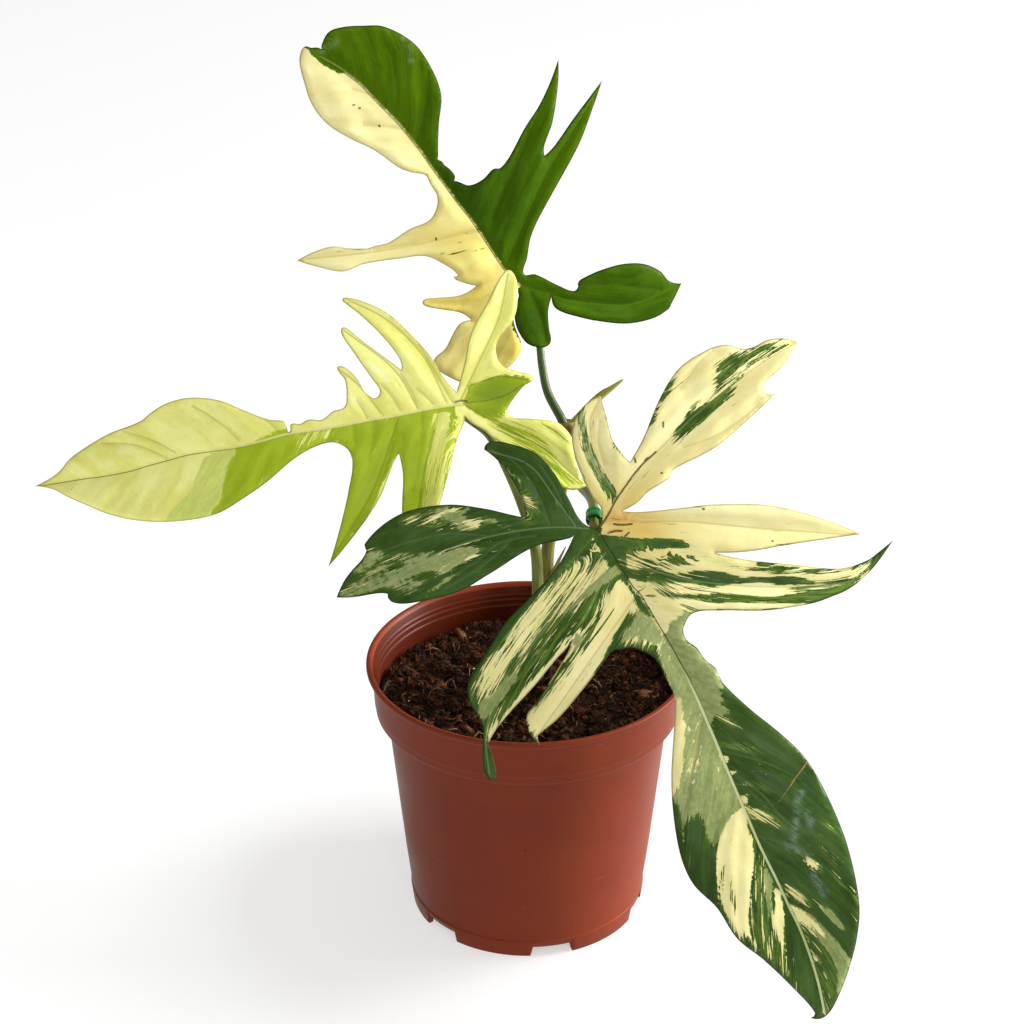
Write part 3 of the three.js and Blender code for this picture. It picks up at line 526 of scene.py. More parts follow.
def soil_bed():
    """The uneven top in rings about the middle, then the sides down to a flat bottom."""
    rings, sectors = 70, 220
    points = [(0.0, 0.0, 0.0)]
    for ring in range(1, rings + 1):
        points += round_row(SOIL_EDGE * ring / rings, sectors, 0.0)
    x, y, _ = np.array(points).T
    points = np.column_stack([x, y, soil_height(x, y) + crumbly(x, y) - BED_SINK])
    sides = [
        (SOIL_EDGE, COLLAR_FOOT + 2.2), (body_radius(COLLAR_FOOT) - WALL - GAP, COLLAR_FOOT - 2.2),
        (body_radius(FLOOR_HEIGHT) - WALL - 1.6, FLOOR_HEIGHT + WALL + GAP),
    ]
    for radius, height in sides:
        points = np.vstack([points, round_row(radius, sectors, height)])
    faces = [(0, 1 + k, 1 + (k + 1) % sectors) for k in range(sectors)]
    faces += [(a, d, c, b) for a, b, c, d in tube(rings + len(sides), sectors, 1)]
    faces.append(tuple(len(points) - 1 - k for k in range(sectors)))
    return points, faces


def peat(name, dark, light, seed):
    """Dull crumbly matter whose shade changes from lump to lump."""
    f = Finish(name, roughness=0.95, specular=0.12)
    place = f.place()
    mottle = f.step(f.noise(place, 900 + seed, 3, 0.6), 0.3, 0.7, -0.25, 0.25)
    tone = f.plus(f.attribute("tone"), mottle)
    colour = f.mix(f.step(tone, 0.0, 1.0), dark, light)
    height = f.noise(place, 2200, 4, 0.7)
    return f.done(colour, f.bump(height, 0.0004, 0.8))


bed_points, bed_faces = soil_bed()
bed_tone = 0.2 + 0.15 * np.sin(0.4 * bed_points[:, 0]) * np.cos(0.5 * bed_points[:, 1])
bed_finish = peat("potting_mix", shade(19, 10, 5), shade(90, 50, 27), 0)
add_piece("soil_bed", bed_points, bed_faces, bed_finish, ["soil"], {"tone": bed_tone})

# %% Lumps and grains on the bed
LUMP_EDGE = 54.0
LUMP_RISE = 0.1
GOLDEN = (1 + 5 ** 0.5) / 2
ICO_POINTS = np.array(
    [(-1, GOLDEN, 0), (1, GOLDEN, 0), (-1, -GOLDEN, 0), (1, -GOLDEN, 0), (0, -1, GOLDEN), (0, 1, GOLDEN),
     (0, -1, -GOLDEN), (0, 1, -GOLDEN), (GOLDEN, 0, -1), (GOLDEN, 0, 1), (-GOLDEN, 0, -1), (-GOLDEN, 0, 1)]
) / math.hypot(1, GOLDEN)
ICO_FACES = [
    (0, 11, 5), (0, 5, 1), (0, 1, 7), (0, 7, 10), (0, 10, 11), (1, 5, 9), (5, 11, 4), (11, 10, 2), (10, 7, 6),
    (7, 1, 8), (3, 9, 4), (3, 4, 2), (3, 2, 6), (3, 6, 8), (3, 8, 9), (4, 9, 5), (2, 4, 11), (6, 2, 10),
    (8, 6, 7), (9, 8, 1),
]


def finer(points, faces):
    """Each triangle split into four, with the new points pushed out to the sphere."""
    points = [tuple(p) for p in points]
    middles, split = {}, []

    def middle(a, b):
        key = (min(a, b), max(a, b))
        if key not in middles:
            place = (np.array(points[a]) + np.array(points[b])) / 2
            points.append(tuple(place / np.linalg.norm(place)))
            middles[key] = len(points) - 1
        return middles[key]

    for a, b, c in faces:
        ab, bc, ca = middle(a, b), middle(b, c), middle(c, a)
        split += [(a, ab, ca), (b, bc, ab), (c, ca, bc), (ab, bc, ca)]
    return np.array(points), split


def random_turn(rng):
    """An even random rotation matrix."""
    matrix, _ = np.linalg.qr(rng.normal(size=(3, 3)))
    return matrix if np.linalg.det(matrix) > 0 else -matrix


def lumps(count, sizes, flatness, base, tones, seed):
    """Many dented lumps lying on the bed. Returns points, faces and a shade for each point."""
    rng = np.random.default_rng(seed)
    points, faces, shades = [], [], []
    shape, shape_faces = base
    for _ in range(count):
        radius = LUMP_EDGE * math.sqrt(rng.uniform(0, 1))
        angle = rng.uniform(0, 2 * math.pi)
        x, y = radius * math.cos(angle), radius * math.sin(angle)
        size = sizes[0] + (sizes[1] - sizes[0]) * rng.uniform(0, 1) ** 2.2
        stretch = size * np.array([rng.uniform(0.7, 1.5), rng.uniform(0.6, 1.0), rng.uniform(*flatness)])
        dents = 1 + rng.normal(0, 0.24, (len(shape), 1))
        body = (shape * dents * stretch) @ random_turn(rng).T
        z = float(soil_height(x, y)) - BED_SINK + LUMP_RISE * size
        first = len(points)
        points.extend((body + [x, y, z]).tolist())
        faces.extend((a + first, b + first, c + first) for a, b, c in shape_faces)
        shades.extend([rng.uniform(*tones)] * len(shape))
    return points, faces, shades


coarse = (ICO_POINTS, ICO_FACES)
fine = finer(*coarse)
chunk_finish = peat("coir_chunks", shade(42, 23, 14), shade(136, 88, 60), 200)
perlite_finish = peat("perlite_grains", shade(176, 166, 150), shade(245, 240, 230), 300)
for name, finish, smooth, *kind in (
    # name, finish, smooth or not, how many, sizes, flatness, base shape, shades, seed
    ("soil_crumbs", bed_finish, False, 8200, (0.25, 0.95), (0.4, 1.0), coarse, (0.0, 0.8), 11),
    ("soil_lumps", bed_finish, False, 1500, (0.7, 2.1), (0.4, 0.9), fine, (0.0, 0.7), 12),
    ("soil_chunks", chunk_finish, True, 90, (1.2, 3.2), (0.35, 0.7), fine, (0.0, 0.75), 13),
    ("soil_perlite", perlite_finish, True, 26, (0.3, 0.65), (0.7, 1.0), fine, (0.3, 1.0), 14),
):
    lump_points, lump_faces, lump_shades = lumps(*kind)
    add_piece(name, lump_points, lump_faces, finish, (), {"tone": lump_shades}, smooth)

# %% [markdown]
# ## Fibres in the mix
#
# Coir leaves short bent fibres all through the mix. Each is a thin three-sided strand that
# wanders in six steps just above the bed, and a few are twice as thick, like splinters.

# %% Fibres
FIBRE_START = 53
FIBRE_EDGE = 54.5
FIBRE_STEPS = 6


def strands(count, seed):
    """Bent three-sided strands. Returns points, faces and a shade for each point."""
    rng = np.random.default_rng(seed)
    points, faces, shades = [], [], []
    for _ in range(count):
        radius, angle = FIBRE_START * math.sqrt(rng.uniform(0, 1)), rng.uniform(0, 2 * math.pi)
        place = np.array([radius * math.cos(angle), radius * math.sin(angle)])
        heading, length = rng.uniform(0, 2 * math.pi), rng.uniform(2.0, 8.5)
        thick = rng.uniform(0.09, 0.26) * (2.0 if rng.uniform() < 0.15 else 1.0)
        tone, lift = rng.uniform(0, 1), rng.uniform(0.1, 1.1)
        faces += closed_tube(FIBRE_STEPS + 1, 3, len(points))
        for k in range(FIBRE_STEPS + 1):
            if np.hypot(*place) > FIBRE_EDGE:
                place = place * FIBRE_EDGE / np.hypot(*place)
            rise = lift * math.sin(math.pi * k / FIBRE_STEPS) + rng.normal(0, 0.12)
            z = float(soil_height(*place)) + rise
            slim = thick * (0.35 + math.sin(math.pi * (k + 0.5) / (FIBRE_STEPS + 1)))
            for turn in (0, 2.1, 4.2):
                out = slim * math.cos(turn)
                x, y = place[0] - out * math.sin(heading), place[1] + out * math.cos(heading)
                points.append((x, y, z + slim * math.sin(turn)))
                shades.append(tone)
            heading += rng.normal(0, 0.35)
            place = place + length / FIBRE_STEPS * np.array([math.cos(heading), math.sin(heading)])
    return points, faces, shades


fibre_finish = peat("coir_fibres", shade(40, 24, 15), shade(130, 96, 64), 100)
fibre_points, fibre_faces, fibre_shades = strands(380, 15)
add_piece("soil_fibres", fibre_points, fibre_faces, fibre_finish, (), {"tone": fibre_shades})

# %% [markdown]
# ## Smooth lines and limbs
#
# Stems and stalks are round limbs along the same smooth lines as in the CAD source: a curve
# through a few points whose speed follows the square root of their spacing, so that it never
# loops. A limb also carries where each point is along it and round it, for streaks and rings.

# %% Smooth lines and limbs
def pace(before, here, after, first, second):
    """How fast and which way a smooth curve runs through the middle one of three points."""
    return (here - before) / first - (after - before) / (first + second) + (after - here) / second


def smooth_line(points, count):
    """Evenly spaced places on a smooth open curve through the points."""
    p = np.asarray(points, float)
    p = np.vstack([2 * p[0] - p[1], p, 2 * p[-1] - p[-2]])
    fine_points = []
    for i in range(1, len(p) - 2):
        gap = [max(np.linalg.norm(p[i + k] - p[i + k - 1]) ** 0.5, 1e-4) for k in range(3)]
        leave = pace(p[i - 1], p[i], p[i + 1], gap[0], gap[1]) * gap[1]
        arrive = pace(p[i], p[i + 1], p[i + 2], gap[1], gap[2]) * gap[1]
        for t in np.linspace(0, 1, 40, endpoint=False):
            share = 3 * t * t - 2 * t ** 3
            fine_points.append(
                p[i] * (1 - share) + p[i + 1] * share
                + leave * (t ** 3 - 2 * t * t + t) + arrive * (t ** 3 - t * t)
            )
    fine_points.append(p[-2])
    fine_points = np.array(fine_points)
    lengths = np.r_[0, np.cumsum(np.linalg.norm(np.diff(fine_points, axis=0), axis=1))]
    wanted = np.linspace(0, lengths[-1], count)
    return np.column_stack([np.interp(wanted, lengths, fine_points[:, k]) for k in range(p.shape[1])])


LIMB_STEPS = 140
LIMB_SIDES = 28


def limb(line, radius_at, shape=None):
    """A round limb along a line. radius_at gives millimetres for 0 (foot) to 1 (end)."""
    centres = smooth_line(line, LIMB_STEPS)
    ways = unit(np.gradient(centres, axis=0))
    side = np.cross(ways[0], [0.31, -0.9, 0.2])
    points, along = [], []
    step = np.linalg.norm(centres[1] - centres[0])
    for i, (centre, way) in enumerate(zip(centres, ways)):
        side = unit(side - way * (side @ way))
        other = np.cross(way, side)
        t = i / (LIMB_STEPS - 1)
        for k in range(LIMB_SIDES):
            angle = 2 * math.pi * k / LIMB_SIDES
            radius = radius_at(t) * (shape(t, angle) if shape else 1.0)
            points.append(centre + radius * (math.cos(angle) * side + math.sin(angle) * other))
            along.append((math.cos(angle), math.sin(angle), i * step))
    return np.array(points), closed_tube(LIMB_STEPS, LIMB_SIDES), np.array(along)


def skin(name, pale, deep, brown, brown_share=0.5, roughness=0.42):
    """Stem skin: fine streaks along the limb, brown flecks, and brown rings and foot by attribute."""
    f = Finish(name, roughness=roughness, specular=0.35)
    along = f.attribute("limb", "Vector")
    streaks = f.noise(f.stretch(along, (2.2, 2.2, 0.05)), 1.0, 3)
    patches = f.noise(f.stretch(along, (0.8, 0.8, 0.09)), 1.0, 2)
    flecks = f.noise(f.stretch(along, (3.0, 3.0, 0.7)), 1.0, 3, 0.65)
    colour = f.mix(f.step(streaks, 0.35, 0.65), deep, pale)
    colour = f.mix(f.step(patches, 0.5, 0.75, 0.0, brown_share), colour, brown)
    colour = f.mix(f.step(flecks, 0.68, 0.74, 0.0, 0.7), colour, brown)
    colour = f.mix(f.attribute("ring"), colour, brown)
    colour = f.mix(f.attribute("foot"), colour, shade(38, 25, 15))
    height = f.plus(streaks, f.times(flecks, 0.4))
    return f.done(colour, f.bump(height, 0.0002, 0.6))


print("a limb has", LIMB_STEPS, "rows of", LIMB_SIDES, "points")


# %% [markdown]
# ## Stem and stalks
#
# The stem climbs out of the mix behind the front leaf. Each joint of it is a slight swelling
# with a brown ring, and a shallow groove runs between joints. The three leaf stalks are
# slimmer and smoother; the left one rises beside the stem from its own hole in the mix.

# %% Stem and stalks
STEM_PATH = [
    (6, 1, 68), (6.8, 0.5, 100), (7.1, 0, 134), (7.4, 0, 152), (10.9, 0, 171), (13.6, 0, 185), (14.2, 0, 203),
]
STEM_NODES = (0.3, 0.5, 0.68, 0.86, 0.985)
LEFT_STALK = [
    (3.2, -6.5, 74), (3.4, -6, 100), (3.6, -5.5, 136), (2.6, -6, 154.5), (-2.3, -10.5, 175),
    (-8.4, -15.5, 193.5), (-14.7, -19.8, 208.5),
]
TOP_STALK = [
    (14, 0, 199), (11.6, 1, 204.3), (7, 5, 212.2), (5, 10.5, 220), (4, 15.6, 227.9), (2.4, 19.4, 238.3),
    (-0.4, 20, 246),
]
FRONT_STALK = [
    (13.4, 0, 181.5), (16.5, -5, 183), (19.4, -18, 185.6), (21.6, -32, 189.4), (22.4, -43, 191.8),
    (22.4, -53, 192.9), (22.6, -60.5, 192),
]
STEM_RADIUS = 2.5
GROOVE_AT = 4.4
GROOVE_WIDTH = 0.5
GROOVE_DEPTH = 0.12
NODE_SWELL = 0.55
NODE_LENGTH = 0.016
DARK_FOOT_TOP = 118
DARK_FOOT_FADE = 14


def bell(away, width):
    """A round bump: 1 where away is nothing, and fading to both sides of that."""
    return np.exp(-(away / width) ** 2)


def stem_radius(t):
    swell = sum(NODE_SWELL * bell(t - node, NODE_LENGTH) for node in STEM_NODES)
    return STEM_RADIUS * (1.04 - 0.1 * t) + swell


def ring_share(along, length, places, width):
    """How brown each point is: full on the rings at the given shares of the limb's length."""
    share = np.zeros(len(along))
    for place in places:
        share = np.maximum(share, bell(along[:, 2] / length - place, width))
    return share


def grow(name, line, radius_at, finish, replaces, rings=(), ring_width=0.008, shape=None):
    """A limb as a named piece, with brown rings and a dark foot where it stands in the mix."""
    points, faces, along = limb(line, radius_at, shape=shape)
    ring = ring_share(along, along[:, 2].max(), rings, ring_width)
    foot = np.clip((DARK_FOOT_TOP - points[:, 2]) / DARK_FOOT_FADE, 0, 1)
    looks = {"limb": along, "ring": ring, "foot": foot}
    return add_piece(name, points, faces, finish, replaces, looks)


def grooved(t, angle):
    """A shallow channel down one side of the stem."""
    return 1 - GROOVE_DEPTH * bell(angle - GROOVE_AT, GROOVE_WIDTH)


stem_finish = skin("stem_bark", shade(118, 116, 44), shade(82, 82, 22), shade(96, 62, 30))
grow("stem_climbing", STEM_PATH, stem_radius, stem_finish, ["stem"], STEM_NODES, 0.006, grooved)

# %% [markdown]
# ## Leaf plans
#
# Each leaf is laid out flat first, in millimetres from the point where its stalk joins: u runs
# along the midrib to the tip and v across it. A plan holds the margin, with its tips and
# notches marked, the ribs, and the variegation: patches of colour as small outlines, painted
# one over another, each with the width in which it frays into the next. Side veins, dark marks,
# scratches and painted sheens, which are pale painted reflections, are lines. Stains, tints and
# deeper spots, which are partly the leaf's own tone and partly painted shade, are round spots,
# each with its reach and strength. All of these stand where the photograph shows them, in its
# pixels.
#
# The numbers at the head of a plan set the blade in space. It faces by heading, lean and roll,
# arches back along u with its crest at a certain u, droops to both sides, and may have dents.
# The base is the leaning where no patch lies, and a halved blade is green on one side of its
# midrib. The slants say at which angle side veins leave the midrib, by how far up it they start.
# The smear is how far the ends of patches are torn, and rib_tone is how pale the midrib is at
# its foot and its tip, and between which places it changes.

# %% Plan of the top leaf
TOP_LEAF = {
    "junction": [-3, 14, 250.5],
    "heading": 12,
    "lean": 20,
    "roll": -141.5,
    "arch": 0.0044,
    "crest": 50,
    "droop": 0.003,
    "dents": [],
    "ribs": [
        [(0, 0), (5.4, 0.5), (11.4, 0.1), (18, -0.8), (24.6, -1.8), (30.8, -2.5), (36.6, -2.8),
        (42.6, -3.4), (48.3, -3.9), (54.3, -4.6), (60.2, -5.4), (65.8, -5.8), (71.3, -6.2),
        (76.3, -6.1), (81.2, -5.9), (86.1, -5.9), (91, -5.8), (95.3, -5.1), (100.2, -4.1),
        (106.1, -2.3)],
        [(24, -6), (32, -25), (40, -43), (48, -63)],
        [(10, -2), (23, -33), (28, -53), (32, -70)],
        [(26, -1), (36, 17), (46, 32), (61, 52)],
        [(0, 0), (-16, -9), (-26, -17), (-35, -26), (-40, -36), (-43, -45)],
        [(-3, -1), (-14, 2), (-24, 7)],
        [(4, 3), (8, 18), (19, 29)],
        [(0, 2), (-7, 16), (-13, 36)],
    ],
    "margin": [
        (108.5, -4.3, "notch"), (109.7, -5.6), (111.1, -10.3), (109, -15), (105, -20), (99.5, -25.5),
        (89, -29), (79.5, -28), (69.5, -24), (63, -17), (57, -11), (54.3, -8.5), (53.5, -7.6),
        (52, -8.2), (50.5, -8), (48.3, -8.4), (45.5, -8.3), (44.6, -7.7), (44.1, -6.8, "notch"),
        (42.6, -7.8), (39.3, -9.6), (37.5, -14.5), (37.5, -20), (36, -22), (36.5, -27), (40, -38),
        (42, -47), (45, -55.5), (49, -64, "tip"), (43, -58), (35, -47.5), (30.5, -39),
        (28, -37, "notch"), (28, -42), (30, -53), (31.5, -63.5), (32.5, -71, "tip"), (28.5, -63),
        (22, -48.5), (14.5, -24.5), (10.5, -14.5), (5.5, -8), (2, -3.5), (-1, -6.5), (-9.5, -10),
        (-16, -13.5), (-14.7, -16, "tip"), (-14.3, -17.8), (-17.5, -26.5), (-22, -34), (-27.5, -39.5),
        (-34, -42.5), (-39.5, -43), (-43.8, -46.1, "tip"), (-45.2, -42.5), (-46.6, -38.2),
        (-47.3, -36.3), (-45.5, -29.5), (-39.5, -20.6), (-30, -12.4), (-22.9, -7.6), (-18.3, -5),
        (-14.6, -4.2), (-11.5, -6, "notch"), (-14.5, -1.5), (-20.1, 2.6), (-23, 4.1), (-24.2, 5.7),
        (-23.9, 7.7), (-21.9, 9.9), (-18, 11.9), (-13.8, 11.8), (-9.8, 10.6), (-6.2, 8.1), (-4, 5.3),
        (-2.9, 3.2), (-1.6, 2.3, "notch"), (-2.1, 5.2), (-3.4, 7.4), (-5.7, 8.7), (-8.4, 10.5),
        (-12.1, 12.1), (-15.6, 13.2), (-18, 15.1), (-19.3, 18.8), (-19.6, 22.9), (-18.5, 26.1),
        (-15, 37, "tip"), (-3, 42), (1.5, 41), (2, 35), (3.5, 31), (5, 25.5), (3, 21.5, "notch"),
        (7.5, 22.5), (13, 26.5), (18.1, 30.2), (20, 30.2), (20, 28.4), (17.6, 25.3), (12.5, 18.5),
        (11, 12, "notch"), (17.5, 16), (19.5, 16, "tip"), (18.5, 14.5), (24.5, 15.5), (31.5, 18.5),
        (37, 25.5), (44.5, 36.5), (47.5, 43.5), (55, 49), (61, 52.5, "tip"), (57.1, 41.2), (52, 36.4),
        (47.6, 31.8), (46.4, 29.2), (44, 25), (42.5, 16.5), (40, 9), (41.5, 4), (44.6, 1.1),
        (46.8, 0.6), (49, 0.2), (52.5, -0.6), (56.5, 2.3), (60.7, 4.5), (70.9, 6.7), (79.9, 10.2),
        (88.9, 12.5), (97.1, 11.7), (105, 8), (110.5, 4.5), (113, 1), (112.9, -1), (111.3, -1.9),
        (110, -3.5),
    ],
    "base": (-3.0, -1.6),
    "halved": True,
    "slants": [(20, 58), (60, 50), (110, 40)],
    "smear": 1.5,
    "stains": [],
    "tints": [(465.5, 281.5, 24, 0.9), (507.5, 355.5, 18, 1), (419, 230, 18, 0.6)],
    # darker spots: partly the leaf's own deeper tone, partly painted shade
    "deeps": [
        (480, 200, 34, 1), (625, 285, 34, 0.85), (533, 320, 24, 1), (525, 150, 40, 0.7),
        (440, 130, 16, 0.3), (476, 345, 13, 0.42),
    ],
    "rib_tone": (0.15, 0.25, 20, 60),
    "veins": [
        [(427.5, 71.5), (426, 96), (420, 123.5), (416.5, 139)],
        [(528.5, 130), (514.5, 166.5), (500.5, 197.5), (492, 218)],
        [(390.5, 54.5), (395.5, 89), (394, 113)],
        [(352.5, 89), (373.5, 96), (383.5, 104.5)],
        [(363, 125), (390.5, 127), (406, 130)],
        [(373.5, 249), (425, 242), (459.5, 235), (482, 231)],
        [(660, 290), (600, 285), (550, 292)],
    ],
    "scratches": [],
    "dark_lines": [
        [(501, 241), (501, 243)],
        [(427, 198), (427.5, 200)],
        [(436, 238), (436.5, 240)],
        [(353, 105), (354, 105)],
        [(359, 108), (360, 108)],
        [(379, 125.5), (380, 126.5)],
    ],
    # pale streaks of painted reflection: a painted sheen on the gloss
    "films": [
        [(404, 40), (408, 50), (411, 60)],
        [(322, 50), (335, 42)],
    ],
    "patches": [
        ("solid", 0.5, [
            (308, 46), (311.5, 55.5), (325, 66), (339, 73.5), (351, 75), (373.5, 94), (425, 140.5),
            (459.5, 71.5), (373.5, 13), (304.5, 23.5),
        ]),
        ("green_mix", 0.5, [(454, 233), (481, 230), (482, 233), (463, 234.5)]),
        ("green_mix", 0.5, [(454, 242.5), (468, 240.5), (469, 242), (457.5, 244)]),
        ("green_mix", 0.6, [(431, 254.5), (483.5, 247.5), (486, 249.5), (459.5, 253), (442, 256)]),
        ("mixed", 0.5, [(461, 247), (476.5, 245), (476.5, 246.5), (464.5, 249)]),
        ("mixed", 0.5, [(488.5, 268), (500.5, 265.5), (502.5, 267.5), (492, 270)]),
        ("mixed", 0.4, [(346, 249), (369, 247.5), (369, 249), (351, 251)]),
        ("green_dash", 0.3, [(434.5, 237.5), (437.5, 237.5), (437.5, 239.5), (434.5, 239.5)]),
        ("green_dash", 0.3, [(334, 250.5), (336.5, 250.5), (336.5, 252.5), (334, 252.5)]),
        ("solid", 0.4, [
            (515, 288), (514.5, 296), (511, 300), (511, 318), (514, 331), (520, 341), (528, 352),
            (560, 352), (560, 320), (556, 296), (545, 286), (530, 284),
        ]),
    ],
}
print("top leaf:", len(TOP_LEAF["margin"]), "places on the margin,",
      len(TOP_LEAF["patches"]), "patches")

# %% Plan of the left leaf
LEFT_LEAF = {
    "junction": [-24, -24, 221.5],
    "heading": -14,
    "lean": 24,
    "roll": -73.5,
    "arch": 0.004,
    "crest": 70,
    "droop": 0.0026,
    "dents": [],
    "ribs": [
        [(0, 0), (10.3, -0.3), (17.3, -0.2), (24.3, -0.1), (31.3, -0.2), (38.4, -0.1), (45.6, -0.2),
        (52.8, -0.5), (60.9, -0.8), (70.2, -0.1), (79.6, 0.3), (89.2, -0.2), (98.9, -0.6),
        (105.4, -0.2), (115.7, 0.5), (122.7, 1.1), (133.3, 1.1), (144, 0.5), (155.1, 0.2),
        (163.8, -0.2)],
        [(4, 0), (10, -20), (20, -34), (33, -44)],
        [(14, 0), (20, -16), (35, -33)],
        [(26, 0), (33, -13), (39, -20)],
        [(0, -1), (-9, -14), (-18, -28), (-23, -42)],
        [(-4, -6), (-15, -7), (-24, -4)],
        [(-1, 0), (-14, 0), (-22, -3)],
        [(-1, 0), (-12, 10), (-24, 20), (-35, 35)],
        [(21, 0), (35, 24), (56, 47)],
        [(7, 0), (16, 20), (25, 46)],
    ],
    "margin": [
        (164.5, 0, "tip"), (156.9, -1.7), (152.2, -3.5), (146.8, -7), (141.1, -9.3), (128.5, -13),
        (114.5, -15.2), (109.2, -17.6), (103.6, -19.5), (94.5, -20), (83, -17), (74, -11.5),
        (66.6, -7.1), (61.1, -5.4), (60.7, -3.4), (60.7, -1.5, "notch"), (59.7, -1.8), (58.9, -4.1),
        (55.7, -3.5), (53.3, -4.4), (50.8, -4.2), (48.4, -3.5), (46.1, -4.2), (43.3, -5.7), (39, -6.5),
        (37.5, -11), (37.5, -16), (39.1, -18.8), (39.3, -20.7), (37.2, -20.5), (34.2, -17.3),
        (32.4, -13.5), (31.5, -10.5), (28.5, -7.5, "notch"), (26, -9.5), (28, -14.5), (32, -23),
        (35.7, -31), (36, -33), (35.3, -34), (33.9, -33.5), (29.5, -28.5), (23, -21.5),
        (17.5, -15.5, "notch"), (17.5, -19.5), (21.5, -27.6), (28, -36.7), (32.4, -41.6),
        (33.9, -43.5), (32.7, -44.2), (26.5, -41.5), (19, -36), (12.5, -27.5), (7, -18.5), (3.5, -9.5),
        (0.5, -4.5, "notch"), (-4, -14), (-8, -24), (-15, -33.5), (-20.5, -41.5), (-23.5, -43.5),
        (-25.5, -40.5), (-25.5, -35), (-23, -26.5), (-16.5, -20), (-15, -16), (-16, -11),
        (-21.3, -7.6), (-24.4, -6.2), (-25.8, -4.7), (-24.6, -3.3), (-22.4, -2.6), (-18.1, 1.2),
        (-15.4, 4.4), (-15.2, 6.3), (-17, 8), (-23, 9.5), (-30.5, 12), (-32.5, 14), (-34.5, 18),
        (-34.5, 22), (-34.5, 29), (-36, 36, "tip"), (-31, 36.5), (-26.5, 33), (-20.3, 24.9),
        (-16.4, 19.2), (-12.6, 17.2), (-10.3, 15), (-8.3, 13.1), (-6.6, 10.8), (-4.8, 9.1),
        (-2.8, 7.3), (-0.8, 4.5, "notch"), (0, 6.7), (3.2, 12.1), (7.4, 21.8), (15, 37), (20, 46),
        (25.5, 50, "tip"), (27, 43), (26.5, 34), (23.5, 20.5), (23.5, 13, "notch"), (26, 16), (33, 27),
        (43.5, 37.5), (56, 47.5, "tip"), (49, 35), (43, 22.5), (39.8, 13.3), (40.6, 8.4), (45.2, 5),
        (52.5, 5.5), (60.3, 8.4), (70.1, 13.9), (80.6, 18.5), (91, 22), (103, 22.5), (118, 20.5),
        (132.5, 16), (144.2, 9.7), (151.1, 5.8), (156.4, 2.5),
    ],
    "base": (-1.9, -1.5),
    "halved": False,
    "slants": [(40, 62), (90, 52), (150, 38)],
    "smear": 2.0,
    "stains": [],
    "tints": [],
    # darker spots: partly the leaf's own deeper tone, partly painted shade
    "deeps": [
        (500, 394, 12, 0.8), (555, 445, 16, 0.35), (380, 440, 20, 0.25), (495, 318, 16, 0.62),
        (200, 430, 26, 0.22),
    ],
    "rib_tone": (0.9, 0.0, 70, 100),
    "veins": [
        [(192, 406), (209.5, 416), (226.5, 428), (238.5, 440)],
        [(101, 443.5), (132, 444.5), (151, 450.5), (166.5, 458.5)],
        [(123.5, 431.5), (151, 440), (175, 452.5)],
        [(261, 416), (269.5, 423), (278.5, 431.5)],
        [(356.5, 400.5), (362.5, 409), (367, 418)],
        [(381.5, 384.5), (391.5, 396), (400.5, 410.5)],
        [(400.5, 374), (411, 391.5), (418, 407.5)],
        [(416.5, 388.5), (425.5, 396), (433, 404)],
        [(416.5, 340.5), (431.5, 366.5), (446, 391.5), (453.5, 403.5)],
        [(353.5, 425.5), (353.5, 441.5)],
        [(373.5, 421.5), (372.5, 438.5), (368.5, 462)],
        [(394, 419.5), (393, 438.5), (387.5, 462), (378.5, 485.5)],
        [(422, 413.5), (421, 438.5), (416.5, 476.5), (412, 491.5)],
        [(488, 424), (515, 440), (545, 462), (572, 484)],
    ],
    "scratches": [],
    "dark_lines": [
        [(455, 402), (462, 400.5), (467, 401.5)],
    ],
    # pale streaks of painted reflection: a painted sheen on the gloss
    "films": [
        [(121, 452), (129, 451)],
        [(108, 464.5), (112, 465)],
        [(97, 483), (104, 482.5)],
        [(399, 354), (406, 355)],
        [(371, 366), (378, 370), (385, 375)],
        [(352, 399), (354, 402)],
    ],
    "patches": [
        ("lime", 0.6, [
            (234.5, 447), (235.5, 454), (227.5, 462.5), (225, 478), (220.5, 490), (220, 502),
            (207.5, 514), (226.5, 536.5), (290, 485), (290, 426.5),
        ]),
        ("pale_green", 1.5, [
            (204, 457.5), (234.5, 447), (235.5, 454), (227.5, 462.5), (225, 478), (220.5, 490),
            (220, 502), (207.5, 514), (192, 524.5), (166.5, 524.5), (166.5, 517.5), (192, 490),
            (199, 471),
        ]),
        ("lime", 0.5, [
            (261, 438.5), (453.5, 404.5), (459, 424), (438.5, 520.5), (399, 525), (401, 456),
            (396, 454.5), (346.5, 564.5), (325.5, 567.5), (352, 462), (334.5, 444.5), (299.5, 456),
            (270, 484), (261, 476.5),
        ]),
        ("lime_mix", 1.5, [
            (298, 432.5), (318.5, 429), (337.5, 429.5), (328.5, 438.5), (303.5, 446), (292, 441.5),
        ]),
        ("pale_streak", 0.7, [
            (431.5, 413.5), (451, 411.5), (448, 432.5), (449, 462), (441.5, 512), (422.5, 512),
            (425.5, 476.5), (433, 441.5),
        ]),
        ("lime_mix", 0.5, [(429, 418), (433, 418), (429, 462), (424.5, 510.5), (421, 510.5), (425.5, 462)]),
        ("lime_mix", 0.6, [
            (451, 412), (459, 416.5), (452, 454.5), (446, 506), (441.5, 506), (449.5, 432.5),
        ]),
        ("lime", 0.5, [
            (463, 404), (470, 386), (500, 374), (527, 376), (533, 381), (520, 395), (506, 412),
            (488, 420),
        ]),
        ("lime_mix", 1.2, [
            (488, 424), (520, 421), (545, 440), (565, 470), (588, 486), (560, 488), (510, 442),
        ]),
        ("pale_streak", 0.6, [(500, 419), (545, 421), (572, 440), (575, 462), (550, 442), (520, 428)]),
    ],
}
print("left leaf:", len(LEFT_LEAF["margin"]), "places on the margin,",
      len(LEFT_LEAF["patches"]), "patches")

